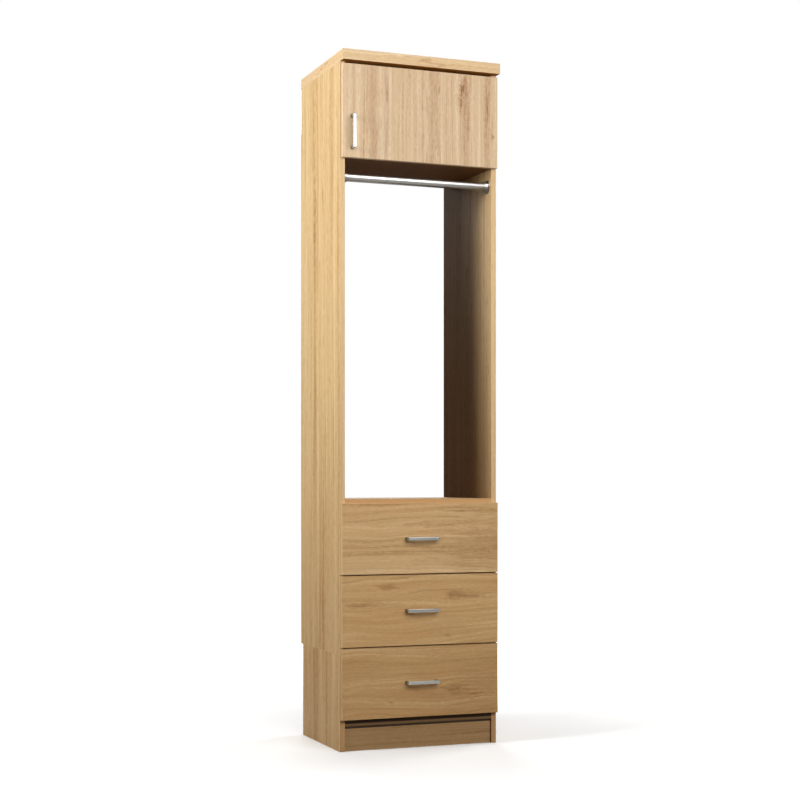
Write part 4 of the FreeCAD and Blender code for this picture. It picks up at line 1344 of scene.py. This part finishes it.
@dataclass
class Drawer:
    """One drawer: its front and handle, its box, and the slide members that move with it."""

    palette: Palette
    number: int
    gap_shadow_below: float = 0.0012  # how far the painted shadow line under the gap above reaches down from the front's upper edge
    gap_shadow_above: float = 0.0010

    def build(self) -> None:
        """Dress the drawer and make its fittings."""
        number, body = self.number, f"drawer_{self.number}"
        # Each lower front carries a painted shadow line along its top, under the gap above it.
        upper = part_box(f"drawer_front_{number}")[1].z
        gap_shadow = (upper - self.gap_shadow_below, upper + self.gap_shadow_above)
        front = OakLaminate(f"oak_front_{number}", Axis.X, Axis.Y, FRONT_TONES[number], 40.0 + 6.4 * number,
                            1.25, FRONT_MARKS[number], edge_share=0.25, wave=0.08, flecked=0.25, blush=0.5,
                            shadow_lines=(gap_shadow,) if number > 1 else ())
        dress(front.build(), f"drawer_front_{number}")
        dress(self.palette.box_side, *[f"drawer_side_{hand}_{number}" for hand in HANDS])
        dress(self.palette.box_back, f"drawer_back_{number}")
        dress(self.palette.hardboard, f"drawer_bottom_{number}")
        dress(self.palette.slide, *[f"slide_{member}_{number}" for member in ("outer", "middle", "inner")])
        BarHandle(f"drawer_handle_{number}", body, self.palette.drawer_handle, Axis.X).build()
        FrontScrews(f"drawer_handle_screws_{number}", body, self.palette.screw).build()


# -------------------------------------------- Studio ---------------------------------------------


@dataclass(frozen=True)
class Lamp:
    """A soft white lamp."""

    name: str
    place: Place
    aim: Place
    power: float  # in watts
    wide: float
    high: float

    def hang(self) -> None:
        """Hang the lamp at its place and point it at its aim."""
        lamp = bpy.data.lights.new(self.name, "AREA")
        lamp.energy = self.power
        lamp.shape = "RECTANGLE"
        lamp.size = self.wide
        lamp.size_y = self.high
        item = add_object(self.name, lamp)
        item.location = self.place
        item.rotation_euler = (Vector(self.aim) - Vector(self.place)).to_track_quat("-Z", "Y").to_euler()


LAMPS = (
    Lamp("front_lamp", (0.1, -2.75, 2.0), (0.0, -0.19, 1.9), 72.0, 3.0, 1.8),
    Lamp("left_lamp", (-2.7, -0.50, 2.15), (-0.26, 0.0, 2.0), 74.0, 0.9, 0.9),
    Lamp("back_lamp", (0.5, 3.0, 2.6), (0.0, 0.2, 1.2), 52.0, 1.6, 1.6),
    Lamp("right_lamp", (2.6, 0.9, 2.0), (0.26, 0.05, 1.2), 36.0, 1.2, 1.2),
    Lamp("top_lamp", (0.0, 0.1, 3.7), (0.0, 0.1, 2.1), 20.0, 1.0, 1.0),
)


@dataclass
class Studio:
    """A pale floor, a white surround, soft lamps and the camera."""

    floor_reach: float = 40.0
    floor_drop: float = 0.0005
    floor_colour: Colour = shade(242, 242, 241)
    floor_bounce: Colour = shade(96, 90, 82)  # what the floor throws back on the tower
    floor_roughness: float = 0.9
    shadow_reach: float = 0.5  # the floor's own glow rises from here
    white_reach: float = 2.6  # to here
    near_glow: float = 0.12  # from this
    far_glow: float = 1.0  # to this, which is white
    mirrored_glow: float = 0.1  # the glow that metal mirrors
    camera_place: Place = (-1.869, -4.859, 0.824)
    camera_yaw: float = 21.06  # degrees from straight ahead, turned to the right
    lens: float = 73.28
    sensor: float = 36.0
    rise: float = 0.1016  # shift of the frame, as a share of its width
    sight: float = 100.0  # how far the camera sees
    ambient: float = 0.015  # light from all round
    low_sky: float = 0.45  # what metal mirrors near the horizon
    high_sky: float = 0.8  # and above sky_edge, the sine of its elevation
    sky_edge: float = 0.14
    sky_blur: float = 0.03

    def build_floor(self) -> None:
        """Lay the floor: pale, with the object's shadow on it, and white further off."""
        graph = Finish("pale_floor")
        x, y, _ = graph.place
        direct, glossy = graph.seen_rays()
        distance = (x * x + y * y).math("SQRT")
        level = distance.between(self.shadow_reach, self.white_reach, self.near_glow, self.far_glow)
        strength = direct * level + glossy * self.mirrored_glow
        glow = graph.add("ShaderNodeEmission", {"Color": WHITE, "Strength": strength})
        seen = direct.math("MAXIMUM", glossy)
        graph.set("Base Color", graph.blend(seen, self.floor_bounce, self.floor_colour))
        graph.set("Roughness", self.floor_roughness)
        joined = graph.add("ShaderNodeAddShader", enumerate((graph.shader.outputs["BSDF"], glow.outputs[0])))
        graph.feed(graph.output.inputs["Surface"], joined.outputs[0])
        half = self.floor_reach / 2.0
        points = [(x * half, y * half, -self.floor_drop) for x, y in ((-1, -1), (1, -1), (1, 1), (-1, 1))]
        mesh = bpy.data.meshes.new("studio_floor")
        mesh.from_pydata(points, [], [[0, 1, 2, 3]])
        mesh.materials.append(graph.material)
        floor = add_object("studio_floor", mesh)
        floor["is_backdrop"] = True

    def build_world(self) -> None:
        """Make the surroundings: white to look at, brighter overhead in reflections, dim as a lamp."""
        world = bpy.data.worlds.new("studio_world")
        world.use_nodes = True
        bpy.context.scene.world = world
        graph = Graph(world.node_tree)
        direct, glossy = graph.seen_rays()
        _, _, rise = graph.parts(graph.coordinates.outputs["Generated"])
        sky = rise.between(self.sky_edge - self.sky_blur, self.sky_edge + self.sky_blur, self.low_sky,
                           self.high_sky)
        strength = direct.pick(glossy.pick(self.ambient, sky), 1.0)
        background = graph.add("ShaderNodeBackground", {"Color": WHITE, "Strength": strength})
        graph.add("ShaderNodeOutputWorld", {"Surface": background.outputs[0]})

    def build_camera(self) -> None:
        """Set the level camera up, looking from the front left."""
        data = bpy.data.cameras.new("view_camera")
        data.lens = self.lens
        data.sensor_width = self.sensor
        data.sensor_fit = "HORIZONTAL"
        data.shift_y = self.rise
        data.dof.use_dof = False
        data.clip_end = self.sight
        camera = add_object("view_camera", data)
        camera.location = self.camera_place
        camera.rotation_euler = (math.radians(90.0), 0.0, math.radians(-self.camera_yaw))
        bpy.context.scene.camera = camera

    def build(self) -> None:
        """Set everything up."""
        bpy.context.scene.view_settings.view_transform = "Standard"
        self.build_floor()
        self.build_world()
        for lamp in LAMPS:
            lamp.hang()
        self.build_camera()
        LOG.info("studio ready")


def write_sizes() -> None:
    """Work out the CAD box and the visual model's box, each as its lowest and highest corner; the result is
    thrown away.
    """
    boxes = {"cad": CAD_BOX, "visual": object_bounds()}
    {name: [list(corner) for corner in box] for name, box in boxes.items()}


def main() -> None:
    """Build the tower's looks and the studio."""
    logging.basicConfig(level=logging.INFO, format="%(name)s: %(message)s")
    palette = Palette()
    drawers = [Drawer(palette, number) for number in DRAWERS]
    for assembly in (Carcass(palette), HangingRod(palette), Door(palette), HingePair(palette), *drawers):
        assembly.build()
    Studio().build()
    write_sizes()


if __name__ == "__main__":
    main()
